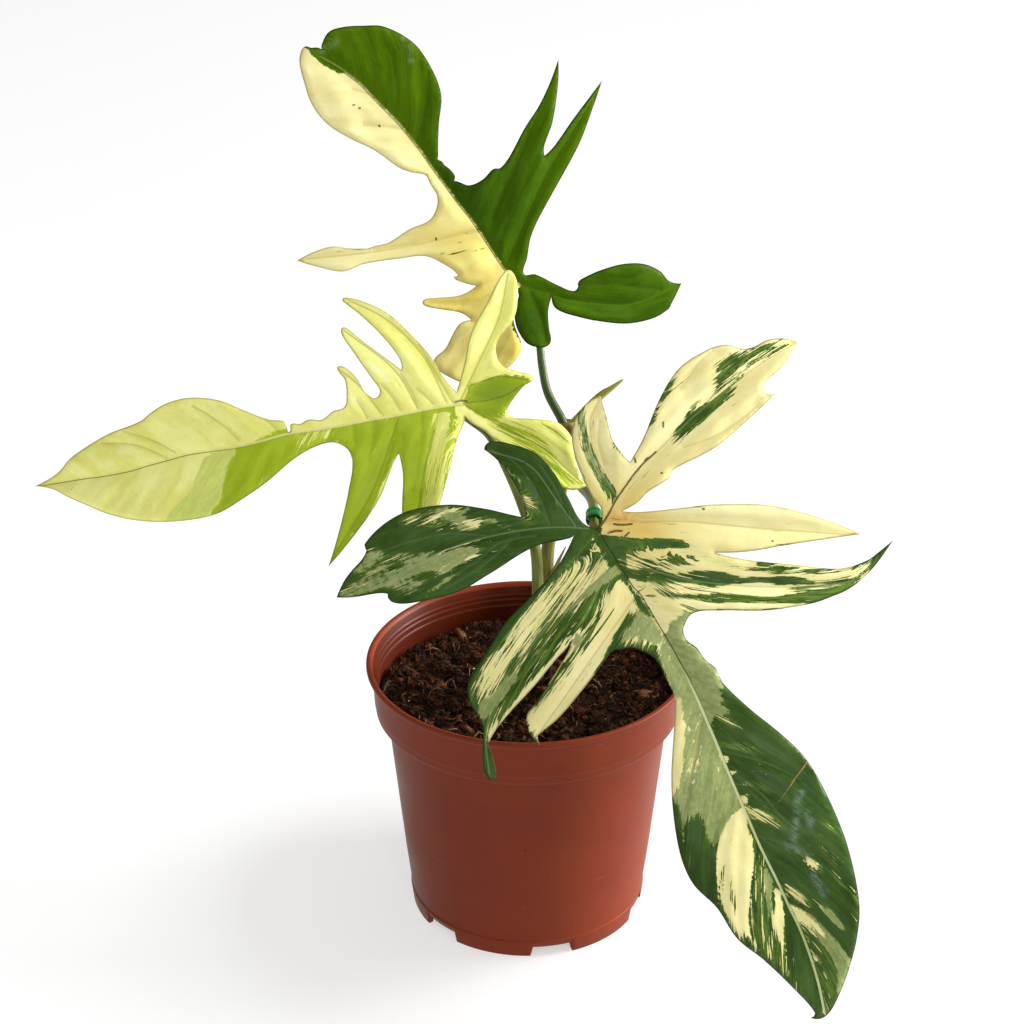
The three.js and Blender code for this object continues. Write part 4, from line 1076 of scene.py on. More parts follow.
# %% Plan of the front leaf
FRONT_LEAF = {
    "junction": [23, -64, 193.5],
    "heading": 4,
    "lean": 26,
    "roll": 23.5,
    "arch": 0.0044,
    "crest": 65,
    "droop": 0.0028,
    "dents": [(55, -62, 28, -10)],
    "ribs": [
        [(0, 0), (3.9, 0.1), (8.3, 0.6), (13.4, 1.1), (18.6, 1.6), (23.2, 2.2), (26.5, 3.3),
        (30.9, 3.7), (35.2, 4.1), (39.7, 4.5), (44, 4.9), (48.5, 5.3), (53.2, 5.5), (57.9, 5.9),
        (62.8, 6), (69.2, 5.9), (75.2, 5.7), (82.3, 5.5), (89.6, 5.2), (97.8, 4.9), (107.8, 4.7),
        (115, 4.6), (122.3, 4.5), (129, 4.7), (135.6, 5), (143.5, 5.2), (149.1, 5.3), (155, 5.6),
        (163, 5.5), (171.3, 5), (179.9, 4.1), (187.7, 2.8), (191.7, 2.1)],
        [(-0.1, 0.3), (-2, 3.5), (-4, 7.2), (-6.7, 12.3), (-9.2, 17.4), (-11.7, 22.5), (-13.5, 27.3),
        (-15.1, 32), (-16.9, 37.6), (-20.7, 50.5), (-24.6, 68.4), (-26.6, 81.5), (-27.3, 91.6)],
        [(-6, 11), (-23, 11), (-34, 15), (-39, 21)],
        [(0, 0), (-7, -14), (-12, -30), (-15, -48), (-15, -67), (-16, -90)],
        [(-4, -6), (-15, -8), (-29, -11), (-40, -22)],
        [(8, 1), (19, -23), (34, -49), (48, -64), (61, -69)],
        [(25, 4), (39, -21), (56, -49)],
        [(-1, 2), (10, 27), (24, 51), (41, 81)],
        [(12, 2), (29, 21), (46, 51), (54, 75), (48, 91)],
    ],
    "margin": [
        (190.1, -1.2), (191, -3.2, "tip"), (192.9, -0.8), (193.1, 2.1), (190.6, 6), (179.8, 15.7),
        (168, 23.5), (158, 28), (144, 31), (130.5, 32.5), (115, 32.5), (101.5, 31), (90.5, 27),
        (77, 20.5), (65.7, 16.1), (62.5, 15.9), (59.7, 15.9), (57.6, 15), (55, 13.8), (52.9, 13.5),
        (50.7, 13.1), (48.9, 12.2), (47.4, 11.3), (44.9, 11.1), (42.5, 12), (39.5, 17), (43, 26.5),
        (49.5, 40), (54.4, 55.5), (55.4, 62.9), (55.8, 68.3), (55.1, 74.3), (53.2, 80.5), (51.1, 85.2),
        (47.7, 91.6, "tip"), (48.4, 88.9), (49.2, 84.9), (49.9, 79.7), (48, 69.5), (40, 56),
        (31.5, 42), (24.5, 33, "notch"), (29, 43.5), (32.5, 55.5), (38.5, 74.5), (41, 82, "tip"),
        (28, 69.5), (17.5, 56), (9.4, 39.3), (6.9, 32.1), (3.1, 21.1), (0.6, 14.7),
        (-1.7, 10.6, "notch"), (-1.7, 13.6), (-2.3, 17.3), (-3.8, 21.5), (-4.4, 26.7), (-5, 30.3),
        (-6.6, 32.3), (-7.1, 37), (-7.1, 43.5), (-7.8, 51.3), (-11.4, 65.4), (-15, 77.3, "tip"),
        (-15.7, 74.7), (-17.7, 73.8), (-20, 76), (-22, 83.5), (-27.3, 93.3, "tip"), (-30.7, 89),
        (-32.6, 83.9), (-32.6, 77.4), (-33.9, 73.7), (-36.7, 70.8), (-38.1, 67.2), (-38.6, 62.6),
        (-37, 50.7), (-29.7, 38.7), (-21.1, 28.7), (-15.5, 20.5, "notch"), (-20.5, 19.1), (-25, 18.7),
        (-33.3, 20.5), (-40, 22, "tip"), (-39, 14), (-34, 8), (-26, 4.5), (-16.5, 3.5), (-10, 3.6),
        (-4.9, 4.4), (0, 0, "notch"), (-4.5, -3.5), (-13.5, -4), (-23, -4.5), (-31.5, -7), (-38, -13),
        (-42, -19.5), (-40.5, -22.5, "tip"), (-33.5, -19.5), (-25.5, -18.5), (-19, -18.5),
        (-13.5, -20, "notch"), (-16.5, -24), (-22, -31), (-28.5, -41.5), (-32.5, -55), (-32, -65),
        (-28.5, -74), (-26.3, -74.3), (-24, -77.4), (-22.4, -81.4), (-20.1, -85.7),
        (-16, -90.5, "tip"), (-13.8, -85.3), (-11.5, -77), (-10, -74, "notch"), (-7, -74), (-4, -68.5),
        (-0.7, -52.3), (-1.7, -39.8), (-3.5, -22), (-1, -9.5), (-1.3, -7.9, "notch"), (4.4, -15.5),
        (8.2, -22.9), (11.1, -30.6), (14.9, -40.9), (19.8, -49), (24, -55.5), (29.1, -62.2),
        (35.2, -64.5), (42, -63.7), (46.3, -64.4), (50.9, -66.8), (56.3, -69.3), (59.9, -70.2),
        (62.7, -69.8), (63.4, -68.6), (62.1, -67), (58.3, -65.9), (54.7, -65.3), (51.5, -65, "notch"),
        (49.6, -62.7), (47.4, -59.3), (44.6, -53.9), (39.3, -42.3), (34.2, -32.2),
        (31.5, -25, "notch"), (34.5, -28.5), (40.5, -37.5), (45.5, -45), (48, -49), (54.5, -50.5),
        (58.8, -49.1, "tip"), (55.9, -48.6), (55.3, -47.3), (52.8, -39.5), (47.4, -28.6),
        (40.9, -16.4), (39.4, -13.4), (40, -10.5), (41, -7), (45, -3), (49.5, -1), (55.5, -1),
        (62.5, -1), (72.5, -6), (85.5, -13), (99.5, -18.5), (113.5, -22), (124.5, -22), (136, -18),
        (149.5, -16), (161.5, -10.5), (176.5, -5),
    ],
    "base": (1.9, -1.5),
    "halved": False,
    "slants": [(55, 48), (90, 38), (130, 30), (180, 12)],
    "smear": 2.0,
    "stains": [(616, 522.5, 5, 0.9), (640, 524.5, 9, 0.5), (628, 518, 5, 0.9)],
    "tints": [(630.5, 519, 14, 0.8)],
    # darker spots: partly the leaf's own deeper tone, partly painted shade
    "deeps": [(700, 880, 22, 0.7), (790, 940, 24, 0.5), (470, 700, 14, 0.4)],
    "rib_tone": (0.0, 1.0, 50, 70),
    "veins": [
        [(723.5, 751.5), (748, 757.5), (777, 767.5), (801.5, 779.5)],
        [(760, 836), (787, 845.5), (816.5, 860.5), (843.5, 885)],
        [(777, 885), (806.5, 907), (836, 941)],
        [(738, 796.5), (721, 819), (713.5, 843.5)],
        [(701, 721), (694, 757.5), (686.5, 792)],
        [(735.5, 772), (757.5, 789.5), (777, 811.5), (792, 826)],
        [(680, 388.5), (686.5, 381.5), (693.5, 370.5), (702, 359.5), (713.5, 350.5)],
        [(683.5, 447), (702, 441.5), (719, 434), (740, 420.5), (758, 406)],
        [(536.5, 536), (521.5, 537.5), (511.5, 540), (503.5, 548.5),
         (488.5, 561.5), (471.5, 573.5), (446.5, 588.5)],
        [(549.5, 524.5), (536.5, 491), (516, 463.5), (497.5, 452)],
        [(568, 522.5), (558.5, 494.5), (542, 467)],
        [(519.5, 535.5), (497.5, 544.5), (477, 561.5), (449.5, 578)],
        [(486.5, 535.5), (449.5, 533.5), (412.5, 541), (381, 552)],
        [(600, 419.5), (598.5, 441.5), (604.5, 465.5)],
    ],
    "scratches": [
        [(807, 762), (796.5, 777), (787, 789.5), (777, 803)],
    ],
    "dark_lines": [
        [(599, 529), (608, 515), (616, 500), (625, 487), (635, 473), (645, 462), (656, 452)],
        [(634.5, 456.5), (635.5, 462)],
        [(644.5, 461), (646.5, 458.5)],
        [(661, 473), (662, 473)],
        [(614, 524), (622, 525), (632, 524)],
        [(608, 533), (615, 531), (622, 531)],
        [(625, 536), (629, 532.5)],
        [(702.5, 509), (704, 509)],
        [(772, 541), (773, 541)],
        [(663, 422), (663, 427)],
    ],
    # pale streaks of painted reflection: a painted sheen on the gloss
    "films": [
        [(802, 790), (798, 800), (796.5, 815), (795, 830), (794, 839)],
        [(788, 845), (797, 850), (806, 856)],
        [(813, 873), (817, 882), (824, 893)],
        [(808, 813), (811, 824)],
    ],
    "patches": [
        ("sage", 1.2, [
            (664, 636), (696, 649), (705, 662), (715, 669), (719, 675), (717.5, 680), (720.5, 688),
            (718, 692), (720.5, 702), (727, 713), (722, 713.5), (714, 712.5), (713, 720), (710, 727),
            (705, 720), (681, 678), (669, 654),
        ]),
        ("sage", 1.5, [
            (657, 628), (665, 646), (679, 670), (709, 728), (725, 764), (741, 806), (725, 828),
            (720, 840), (715.5, 843), (709, 843), (706, 832), (705, 822), (702, 821), (700, 810),
            (697, 816), (690, 818), (686, 821), (683, 820), (678, 804), (671, 800), (668, 780),
            (668, 768), (671, 736), (672.5, 704), (667, 676), (657, 652),
        ]),
        ("cream", 1.5, [
            (672, 680), (680, 686), (685, 700), (682, 706), (678, 700), (675, 704), (677, 724),
            (675, 740), (678, 752), (675, 768), (674, 796), (669, 796), (668, 768), (673, 704),
        ]),
        ("sage_cream", 2, [
            (677, 728), (691, 728), (701, 740), (703, 748), (697, 760), (685, 778), (683, 770),
            (689, 756), (683, 752), (679, 744),
        ]),
        ("sage", 1, [(681.5, 820), (684, 821), (684.5, 840), (683, 846), (682, 832)]),
        ("mixed", 1, [(684, 852), (687, 850), (692, 866), (690, 868)]),
        ("cream", 0.5, [
            (741, 807.5), (745, 818), (748, 830), (752, 836), (754, 852), (754, 858), (750, 890),
            (751, 908), (748, 914), (750.5, 936), (735, 930), (722, 906), (719.5, 898), (716, 872),
            (715.5, 856), (717, 846), (720.5, 836), (731, 818),
        ]),
        ("mixed", 0.8, [
            (729, 876), (732, 878), (735, 886), (738, 900), (738.5, 908), (736, 914), (731, 906),
            (729, 898), (727.5, 884),
        ]),
        ("mixed", 0.6, [
            (718, 872), (725, 865), (725.5, 868), (723, 874), (722, 898), (720.5, 898), (719.5, 880),
        ]),
        ("mixed", 1, [(727, 914), (733, 928), (749, 936), (753, 940), (737, 936), (729, 926)]),
        ("green_mix", 1, [
            (745, 816), (754, 840), (756, 850), (765, 860), (763, 866), (767, 890), (763, 900),
            (765, 908), (761, 908), (757, 898), (756, 888), (754, 880), (753, 860), (754, 852),
            (753, 840), (748, 832),
        ]),
        ("cream_streak", 0.8, [(754, 882), (757, 886), (760, 898), (758, 906), (755, 900), (753, 890)]),
        ("sage", 0.8, [
            (765, 864), (773, 882), (773, 888), (771, 898), (773, 906), (772, 920), (768, 914),
            (763.5, 876),
        ]),
        ("cream", 0.5, [
            (773, 885), (779, 892), (783, 904), (785, 914), (784.5, 940), (785.5, 956), (783, 952),
            (771, 920), (776, 906), (774, 896),
        ]),
        ("green_mix", 1.5, [
            (749, 914), (765, 908), (785, 956), (793, 980), (817, 1010), (805, 1000), (785, 976),
            (765, 958), (733, 936), (751, 936),
        ]),
        ("cream_streak", 0.8, [(749, 936), (765, 958), (763, 959), (753, 948)]),
        ("mixed", 0.6, [(791, 958), (794, 957.5), (796, 961), (793, 963.5), (790.5, 961)]),
        ("sage", 0.8, [
            (786, 900), (811, 914), (825, 928), (837, 942), (853, 964), (844, 992), (837, 1000),
            (838, 972), (831, 956), (813, 932), (799, 922), (791, 914),
        ]),
        ("cream", 0.8, [
            (786, 900), (809, 916), (819, 926), (825, 936), (819, 936), (809, 926), (793, 915),
        ]),
        ("mixed", 1, [(783, 883), (793, 887), (805, 894), (810, 902), (809, 908), (785, 894)]),
        ("sage", 1, [(819, 904), (825, 906), (837, 916), (844, 928), (842, 930), (831, 920), (821, 909)]),
        ("green_mix", 1.5, [
            (799, 922), (813, 932), (825, 948), (835, 968), (835, 988), (829, 1016), (821, 1016),
            (823, 988), (803, 936),
        ]),
        ("cream_streak", 0.8, [(805, 942), (817, 960), (815, 968), (808, 954)]),
        ("cream_streak", 0.6, [(823, 970), (828, 978), (827, 984), (824, 980)]),
        ("mixed", 1.2, [(714, 713), (725, 715), (733, 720), (735, 727), (729, 726), (719, 720)]),
        ("mixed", 1, [(719, 742), (733, 744), (749, 744), (763, 752), (753, 752), (725, 747)]),
        ("cream_dash", 0.5, [(722, 754), (727, 756), (730, 762), (726, 761)]),
        ("cream_dash", 0.5, [(728, 770.5), (736, 771.5), (736, 774), (730, 773.5)]),
        ("green_mix", 1.2, [
            (733, 780), (739, 783), (753, 781), (765, 786), (773, 791), (765, 792), (749, 786),
            (735, 784),
        ]),
        ("mixed", 0.8, [(740, 794), (749, 794), (751, 797), (743, 797)]),
        ("cream", 0.5, [(741, 796), (747, 797), (749, 802), (745, 804), (741, 800)]),
        ("mixed", 0.8, [
            (745, 804), (773, 814), (779, 820), (785, 828), (777, 827), (767, 823), (753, 819),
            (748, 814),
        ]),
        ("cream_streak", 0.8, [(800, 855), (807, 857), (817, 863), (821, 868), (820.5, 873), (807, 863)]),
        ("green_mix", 1.5, [(815, 812), (833, 826), (837, 836), (825, 830)]),
        ("green_mix", 1.5, [(815, 840), (825, 844), (843, 872), (837, 870), (821, 852)]),
        ("mixed", 1, [(831, 872), (845, 884), (847, 892), (837, 880)]),
        ("green_mix", 1, [(851, 878), (857, 890), (861, 904), (857, 910), (853, 896)]),
        ("mixed", 1.2, [
            (592, 532), (588, 546), (578, 554), (536, 600), (520, 616), (506, 636), (492, 652),
            (480, 668), (471, 688), (472, 700), (482, 700), (490, 694), (500, 680), (508, 672),
            (528, 648), (540, 632), (592, 556), (606, 560),
        ]),
        ("mixed", 1, [
            (592.5, 556), (606, 560), (606, 564), (592, 582), (580, 603), (560, 620), (548, 623),
            (533, 643), (517, 668), (502, 678), (492, 697), (488, 700), (497, 682), (515, 655),
            (560, 595), (580, 570),
        ]),
        ("cream_streak", 1, [
            (576, 560), (536, 604), (520, 620), (492, 658), (478, 680), (478, 692), (488, 686),
            (500, 672), (532, 632), (548, 610), (564, 590), (578, 570),
        ]),
        ("cream_streak", 1, [
            (606, 564), (580, 586), (568, 600), (560, 612), (558, 620), (568, 614), (596, 582),
            (610, 568),
        ]),
        ("sage", 1, [
            (614, 566), (620, 573), (580, 608), (568, 624), (558, 630), (560, 616), (576, 600),
            (592, 582),
        ]),
        ("green_streak", 1, [
            (621, 574), (616, 580), (600, 594), (588, 608), (570, 632), (564, 644), (540, 672),
            (528, 684), (504, 712), (492, 728), (483, 736), (483, 724), (492, 708), (508, 694),
            (518, 678), (517, 668), (524, 656), (548, 623), (560, 620), (572, 608), (584, 600),
            (600, 586),
        ]),
        ("mixed", 1, [
            (570, 634), (576, 648), (560, 672), (536, 696), (516, 720), (489, 745), (485, 734),
            (528, 684), (564, 644),
        ]),
        ("cream", 0.8, [
            (573, 645), (578, 648), (552, 680), (520, 712), (489, 745), (486.5, 735), (558, 652),
        ]),
        ("sage", 1.2, [
            (517, 669), (518, 678), (508, 692), (498, 704), (486, 716), (482.5, 722), (477, 712),
            (480, 700), (492, 696), (500, 684), (510, 674),
        ]),
        ("cream", 0.8, [
            (620, 578), (630, 592), (640, 612), (626, 614), (592, 678), (572, 706), (554, 726),
            (542, 746), (526, 728), (526, 712), (540, 706), (552, 694), (568, 674), (584, 644),
            (580, 632), (610, 588),
        ]),
        ("mixed", 0.8, [
            (616, 584), (600, 594), (588, 608), (576, 624), (570, 634), (573, 645), (580, 650),
            (584, 644), (596, 632), (606, 606), (614, 596),
        ]),
        ("green_streak", 0.5, [(616, 586), (600, 600), (588, 616), (568, 638), (570, 634), (596, 602)]),
        ("green_mix", 0.5, [
            (626, 596), (612, 610), (596, 632), (584, 644), (578, 656), (582, 654), (610, 616),
            (627, 599),
        ]),
        ("mixed", 1, [
            (573.5, 648), (568, 660), (560, 672), (527, 710), (529, 718), (552, 694), (564, 678),
            (576, 660), (580, 648),
        ]),
        ("green_mix", 0.8, [
            (571, 652), (564, 666), (554, 680), (528, 709), (532, 709), (546, 694), (560, 678),
            (570, 662),
        ]),
        ("sage_cream", 1, [(570, 636), (580, 632), (582, 644), (574, 652)]),
        ("sage_cream", 2, [
            (633, 605), (651.5, 620), (670.5, 650.5), (653, 646), (632, 642), (619, 641),
            (623.5, 630.5), (636, 622),
        ]),
        ("green", 1, [
            (618, 644), (632, 643), (643.5, 646), (658, 659.5), (666.5, 672), (653, 670), (640, 656.5),
            (628.5, 652.5), (619, 650.5),
        ]),
        ("cream", 0.8, [
            (641, 598), (684, 600.5), (696.5, 607.5), (686, 612.5), (670.5, 622), (672.5, 635.5),
            (662, 630.5), (651.5, 614.5),
        ]),
        ("green_dash", 0.4, [(664.5, 608), (672.5, 607), (671.5, 611), (665, 611.5)]),
        ("green_dash", 0.4, [(676, 606.5), (691.5, 604.5), (692.5, 606), (678, 608.5)]),
        ("sage", 1.5, [
            (670.5, 622), (686, 612.5), (701, 610.5), (687.5, 624), (689.5, 643), (707, 658.5),
            (720, 677.5), (718.5, 691), (727, 713), (710.5, 716), (701, 696.5), (665.5, 637.5),
        ]),
        ("sage_cream", 2, [
            (661, 662), (670.5, 689), (672.5, 719.5), (668.5, 790), (733.5, 790), (708.5, 729),
            (689.5, 691), (672.5, 658.5), (659, 645),
        ]),
        ("cream", 1.5, [
            (671.5, 696.5), (680, 702.5), (684, 727), (682, 758), (678, 790), (669.5, 790),
            (672.5, 719.5),
        ]),
        ("cream", 0.8, [
            (626, 555), (640, 551), (730, 544), (870, 560), (870, 576), (830, 596), (782, 612),
            (710, 616), (670, 628), (656, 620), (630, 580),
        ]),
        ("green", 0.8, [
            (601, 534), (610, 536.5), (620, 536), (628, 539), (663, 537), (665, 540), (681, 540.5),
            (672, 544.5), (670, 548.5), (656, 548), (640, 550.5), (626, 554.5), (630, 558), (626, 560),
            (627, 566), (633, 569), (630, 580), (640, 596), (628, 584), (608, 548),
        ]),
        ("mixed", 1, [
            (627, 558), (646, 557), (663, 558), (664, 560), (676, 569), (656, 570), (638, 569),
            (628, 570),
        ]),
        ("green_mix", 0.8, [(663, 555), (676, 551), (686, 552.5), (702, 564), (676, 569), (664, 560)]),
        ("green_mix", 0.6, [(684, 545.5), (698, 544), (734, 544), (710, 547), (702, 546.5), (688, 547)]),
        ("mixed", 1, [
            (698, 550), (708, 554), (770, 560), (810, 565), (840, 567), (870, 560), (870, 566),
            (840, 574), (810, 576), (770, 574), (738, 569), (710, 562), (702, 558),
        ]),
        ("cream", 0.7, [
            (686, 558), (702, 564), (766, 575), (750, 576.5), (718, 570.5), (702, 568.5), (690, 563.5),
        ]),
        ("green", 0.8, [
            (628, 570), (638, 569), (656, 570), (678, 573.5), (696, 569), (718, 571), (742, 577),
            (790, 577), (821, 581), (780, 586), (766, 582), (718, 585), (696, 583), (656, 583),
            (638, 581), (630, 577),
        ]),
        ("mixed", 0.8, [
            (636, 585), (678, 584), (734, 586), (730, 592), (678, 590), (656, 594), (642, 594),
        ]),
        ("cream", 0.6, [
            (734, 585), (750, 584), (770, 585), (782, 588), (780, 593), (766, 595), (718, 592),
            (702, 590), (718, 588),
        ]),
        ("green_streak", 0.8, [
            (642, 596), (656, 592), (696, 594), (718, 592.5), (746, 595.5), (770, 596.5), (790, 594),
            (810, 590), (830, 591), (850, 580), (870, 566), (870, 569), (848, 588), (830, 598),
            (800, 604), (746, 602.5), (718, 603), (702, 600), (656, 598),
        ]),
        ("mixed", 0.8, [
            (790, 586), (810, 580), (822, 581), (850, 574), (862, 566), (850, 580), (830, 591),
            (810, 590), (790, 594),
        ]),
        ("green_dash", 0.4, [(664, 609), (668, 607), (671.5, 608), (670, 610), (665.5, 610.5)]),
        ("green_dash", 0.4, [(676, 609), (684, 605), (696, 604.5), (690, 607.5), (680, 609.5)]),
        ("sage", 0.8, [
            (686, 610), (702, 609), (770, 609), (786, 607.5), (766, 615), (702, 616), (692, 620),
            (688, 628), (688, 642), (676, 644), (670, 630), (669, 624), (678, 616),
        ]),
        ("cream", 1, [
            (602, 533), (610, 536), (620, 535.5), (628, 538.5), (663, 537), (682, 540), (684, 544.5),
            (710, 549), (770, 548), (790, 544), (870, 536), (866, 526), (770, 498), (622, 504),
            (602, 524),
        ]),
        ("cream", 1, [
            (600, 527.5), (630, 473.5), (624, 460.5), (655.5, 394), (687.5, 349), (727.5, 339.5),
            (815, 336.5), (783, 409.5), (703.5, 467), (655.5, 491), (631.5, 507), (612.5, 518),
        ]),
        ("green_patch", 0.8, [
            (739, 348), (746.5, 348.5), (760, 343), (764.5, 342), (769, 343.5), (778, 341.5),
            (780, 343), (792, 342), (774.5, 355), (772, 359.5), (769, 361.5), (764.5, 361), (760, 363),
            (749, 370.5), (738, 381.5), (731, 384), (737, 389.5), (736.5, 394), (729, 397),
            (716.5, 410.5), (710, 415), (709, 418), (702, 424), (694.5, 429.5), (688, 433),
            (684.5, 438.5), (673.5, 441.5), (673.5, 430.5), (680, 425), (684.5, 418), (690, 411.5),
            (705.5, 401.5), (710, 397), (713.5, 390.5), (713.5, 379.5), (716.5, 374), (712, 374),
            (710.5, 370.5), (713.5, 366), (723, 357), (723.5, 361.5), (724.5, 358.5), (735.5, 349.5),
        ]),
        ("green", 0.8, [
            (723.5, 361.5), (726.5, 357), (735.5, 355), (743.5, 355), (744.5, 359.5), (742, 364),
            (735.5, 365), (724.5, 363),
        ]),
        ("green", 0.8, [(760, 347), (766.5, 345), (772, 346), (772, 350.5), (768, 353.5), (763.5, 351.5)]),
        ("green", 0.8, [(778, 346), (786.5, 344), (789, 344.5), (778, 350.5), (774.5, 349.5)]),
        ("green", 0.8, [
            (685.5, 417), (694.5, 410.5), (710, 403), (713.5, 406), (716.5, 407), (702, 419.5),
            (684.5, 427), (675.5, 435), (674.5, 430.5), (680, 424),
        ]),
        ("green", 0.6, [(722, 399.5), (730, 395), (736.5, 393.5), (722, 404)]),
        ("cream_streak", 0.8, [
            (742, 368.5), (760, 360.5), (762, 361.5), (753.5, 366), (740, 376), (735.5, 377),
            (738, 373),
        ]),
        ("cream_streak", 0.6, [(742, 354), (749, 350.5), (751, 353), (744.5, 357)]),
        ("sage", 0.6, [(684.5, 418), (690, 407), (696.5, 400.5), (703.5, 399), (690, 411.5)]),
        ("green", 0.8, [
            (670, 379), (661, 392), (653, 408), (648, 420), (645.5, 433), (649.5, 433.5), (660, 408.5),
            (667, 395), (675.5, 381.5),
        ]),
        ("green_dash", 0.35, [(635.5, 456.5), (637, 456), (636.5, 462.5), (635, 462.5)]),
        ("green_dash", 0.35, [(645, 458.5), (647, 458), (647, 461), (645, 461)]),
        ("green_dash", 0.3, [(662.5, 419.5), (664, 419), (663, 424), (662, 423.5)]),
        ("cream", 1, [
            (566, 408), (582, 392), (602, 392), (614, 446), (637, 465), (619, 501), (608, 528),
            (578, 480), (570, 448),
        ]),
        ("sage_mix", 1, [
            (576, 410), (577, 420), (581, 432), (582, 446), (586, 460), (600, 484), (612, 502),
            (617, 500), (619, 492), (614, 488), (598, 466), (598, 456), (593, 452), (585, 424),
            (586, 410),
        ]),
        ("green_mix", 0.8, [
            (598, 470), (610, 488), (618, 492), (617, 500), (611, 501), (602, 488), (594, 474),
        ]),
        ("green_mix", 0.4, [
            (573, 446), (576, 448), (579, 464), (588, 480), (594, 488), (590, 486), (582, 476),
            (576, 462),
        ]),
        ("sage", 0.6, [(494, 459.5), (504, 465), (520, 480), (521.5, 483), (493.5, 462)]),
        ("green_mix", 1, [
            (511, 480), (516, 481), (522.5, 492), (530, 500), (535, 510), (536, 516), (532, 528),
            (527, 528), (522, 516), (518, 500), (512, 486),
        ]),
        ("cream_streak", 0.5, [(513, 481), (518, 484), (520, 489), (517, 488)]),
        ("cream", 0.5, [(522.5, 491), (527, 494), (532, 500), (536, 510), (534, 512), (525, 498)]),
        ("sage_cream", 0.5, [(520, 500), (522.5, 504), (530, 524), (522.5, 512)]),
        ("green_mix", 1.2, [
            (400, 518.5), (410, 515), (436.5, 511.5), (463.5, 523.5), (460, 528.5), (430, 526),
            (413.5, 523.5), (401.5, 523.5),
        ]),
        ("sage", 1, [
            (433.5, 508.5), (446.5, 506.5), (466.5, 508.5), (468.5, 511.5), (460, 515), (480, 521.5),
            (481.5, 526), (476.5, 530), (468.5, 531.5), (458.5, 527.5), (456.5, 523.5), (446.5, 516.5),
            (436.5, 513.5),
        ]),
        ("cream_streak", 0.6, [(446.5, 508), (460, 508), (463.5, 511.5), (453.5, 513.5), (446.5, 511)]),
        ("cream", 0.6, [
            (465, 518.5), (476.5, 519), (480, 523.5), (478.5, 528.5), (471.5, 527.5), (466.5, 523.5),
        ]),
        ("sage_mix", 1, [
            (480, 513.5), (510, 528.5), (526.5, 531.5), (528.5, 527.5), (518.5, 523.5), (523.5, 521.5),
            (530, 526), (528.5, 531), (510, 531.5), (493.5, 526.5), (480, 520),
        ]),
        ("cream_dash", 0.4, [(428.5, 522.5), (445, 522.5), (446.5, 524), (430, 524.5)]),
        ("cream_dash", 0.4, [(433.5, 529), (446.5, 529), (446.5, 531), (435, 531)]),
        ("cream_dash", 0.4, [(401.5, 519), (413.5, 519.5), (413.5, 521.5), (403.5, 521.5)]),
        ("sage_mix", 1.2, [
            (366.5, 547.5), (375, 547.5), (380, 553.5), (436.5, 551.5), (446.5, 548.5), (463.5, 546),
            (481, 548.5), (476.5, 555), (453.5, 570), (445, 575), (423.5, 583.5), (420, 590),
            (401.5, 596.5), (393.5, 590), (385, 588.5), (371.5, 590), (355, 596.5), (335, 600),
            (335, 595), (351.5, 583.5), (363.5, 576.5), (351.5, 573.5), (360, 561.5), (363.5, 553.5),
        ]),
        ("sage", 1, [
            (405, 571.5), (410, 566), (463.5, 546.5), (481, 548.5), (473.5, 555), (460, 563.5),
            (446.5, 570), (436.5, 573.5), (423.5, 571.5), (396.5, 580), (373.5, 590), (355, 594),
            (363.5, 590), (385, 583.5), (395, 578.5),
        ]),
        ("sage_cream", 0.8, [
            (423.5, 563.5), (450, 552.5), (481, 548.5), (473.5, 555.5), (460, 563.5), (446.5, 569.5),
            (436.5, 570), (423.5, 568.5),
        ]),
        ("green", 0.8, [
            (413.5, 576.5), (430, 571), (438.5, 571.5), (436.5, 576), (426.5, 578.5), (416.5, 579),
        ]),
        ("green_mix", 1, [
            (380, 555), (393.5, 556.5), (400, 560), (403.5, 565), (396.5, 570), (385, 563.5),
        ]),
        ("sage_cream", 0.5, [
            (428.5, 591), (450, 575), (456.5, 571.5), (455, 575), (445, 583.5), (433.5, 590),
        ]),
    ],
}
print("front leaf:", len(FRONT_LEAF["margin"]), "places on the margin,",
      len(FRONT_LEAF["patches"]), "patches")

# %% [markdown]
# ## From the plan to space
#
# The flat plan is set at its junction, faced by heading and lean, turned by roll and bent: it
# arches back along u, droops to both sides, and rises from every rib like a shallow gutter.
# The same rule bends the plain solids in the CAD source, so the finer blade lies on them. The
# relief of its veins is added later, as an extra height over the bent plan.

# %% From the plan to space
GUTTER_SLOPE = 0.22
GUTTER_WIDTH = 12.0
GUTTER_BLEND = 3.0
SLOPE_STEP = 0.5


def to_line(places, line):
    """Distance of each place to a line, which side it lies on, and how far along that is."""
    line = np.asarray(line, float)
    nearest = np.full(len(places), 1e9)
    side = np.zeros(len(places))
    along = np.zeros(len(places))
    walked = 0.0
    for start, end in zip(line[:-1], line[1:]):
        way = end - start
        length = np.hypot(*way)
        if length < 1e-9:
            continue
        away = places - start
        t = np.clip((away @ way) / (length * length), 0, 1)
        gap = away - t[:, None] * way
        distance = np.hypot(gap[:, 0], gap[:, 1])
        closer = distance < nearest
        nearest = np.where(closer, distance, nearest)
        side = np.where(closer, np.sign(way[0] * away[:, 1] - way[1] * away[:, 0]), side)
        along = np.where(closer, walked + t * length, along)
        walked += length
    return nearest, side, along


def leaf_axes(leaf):
    """Which way the blade faces, and the two ways that its plan is measured in."""
    heading, lean, roll = (math.radians(leaf[key]) for key in ("heading", "lean", "roll"))
    facing = np.array([
        math.sin(heading) * math.cos(lean), -math.cos(heading) * math.cos(lean), math.sin(lean),
    ])
    level = np.array([math.cos(heading), math.sin(heading), 0.0])
    along = level * math.sin(roll) - np.cross(facing, level) * math.cos(roll)
    return facing, along, np.cross(facing, along)


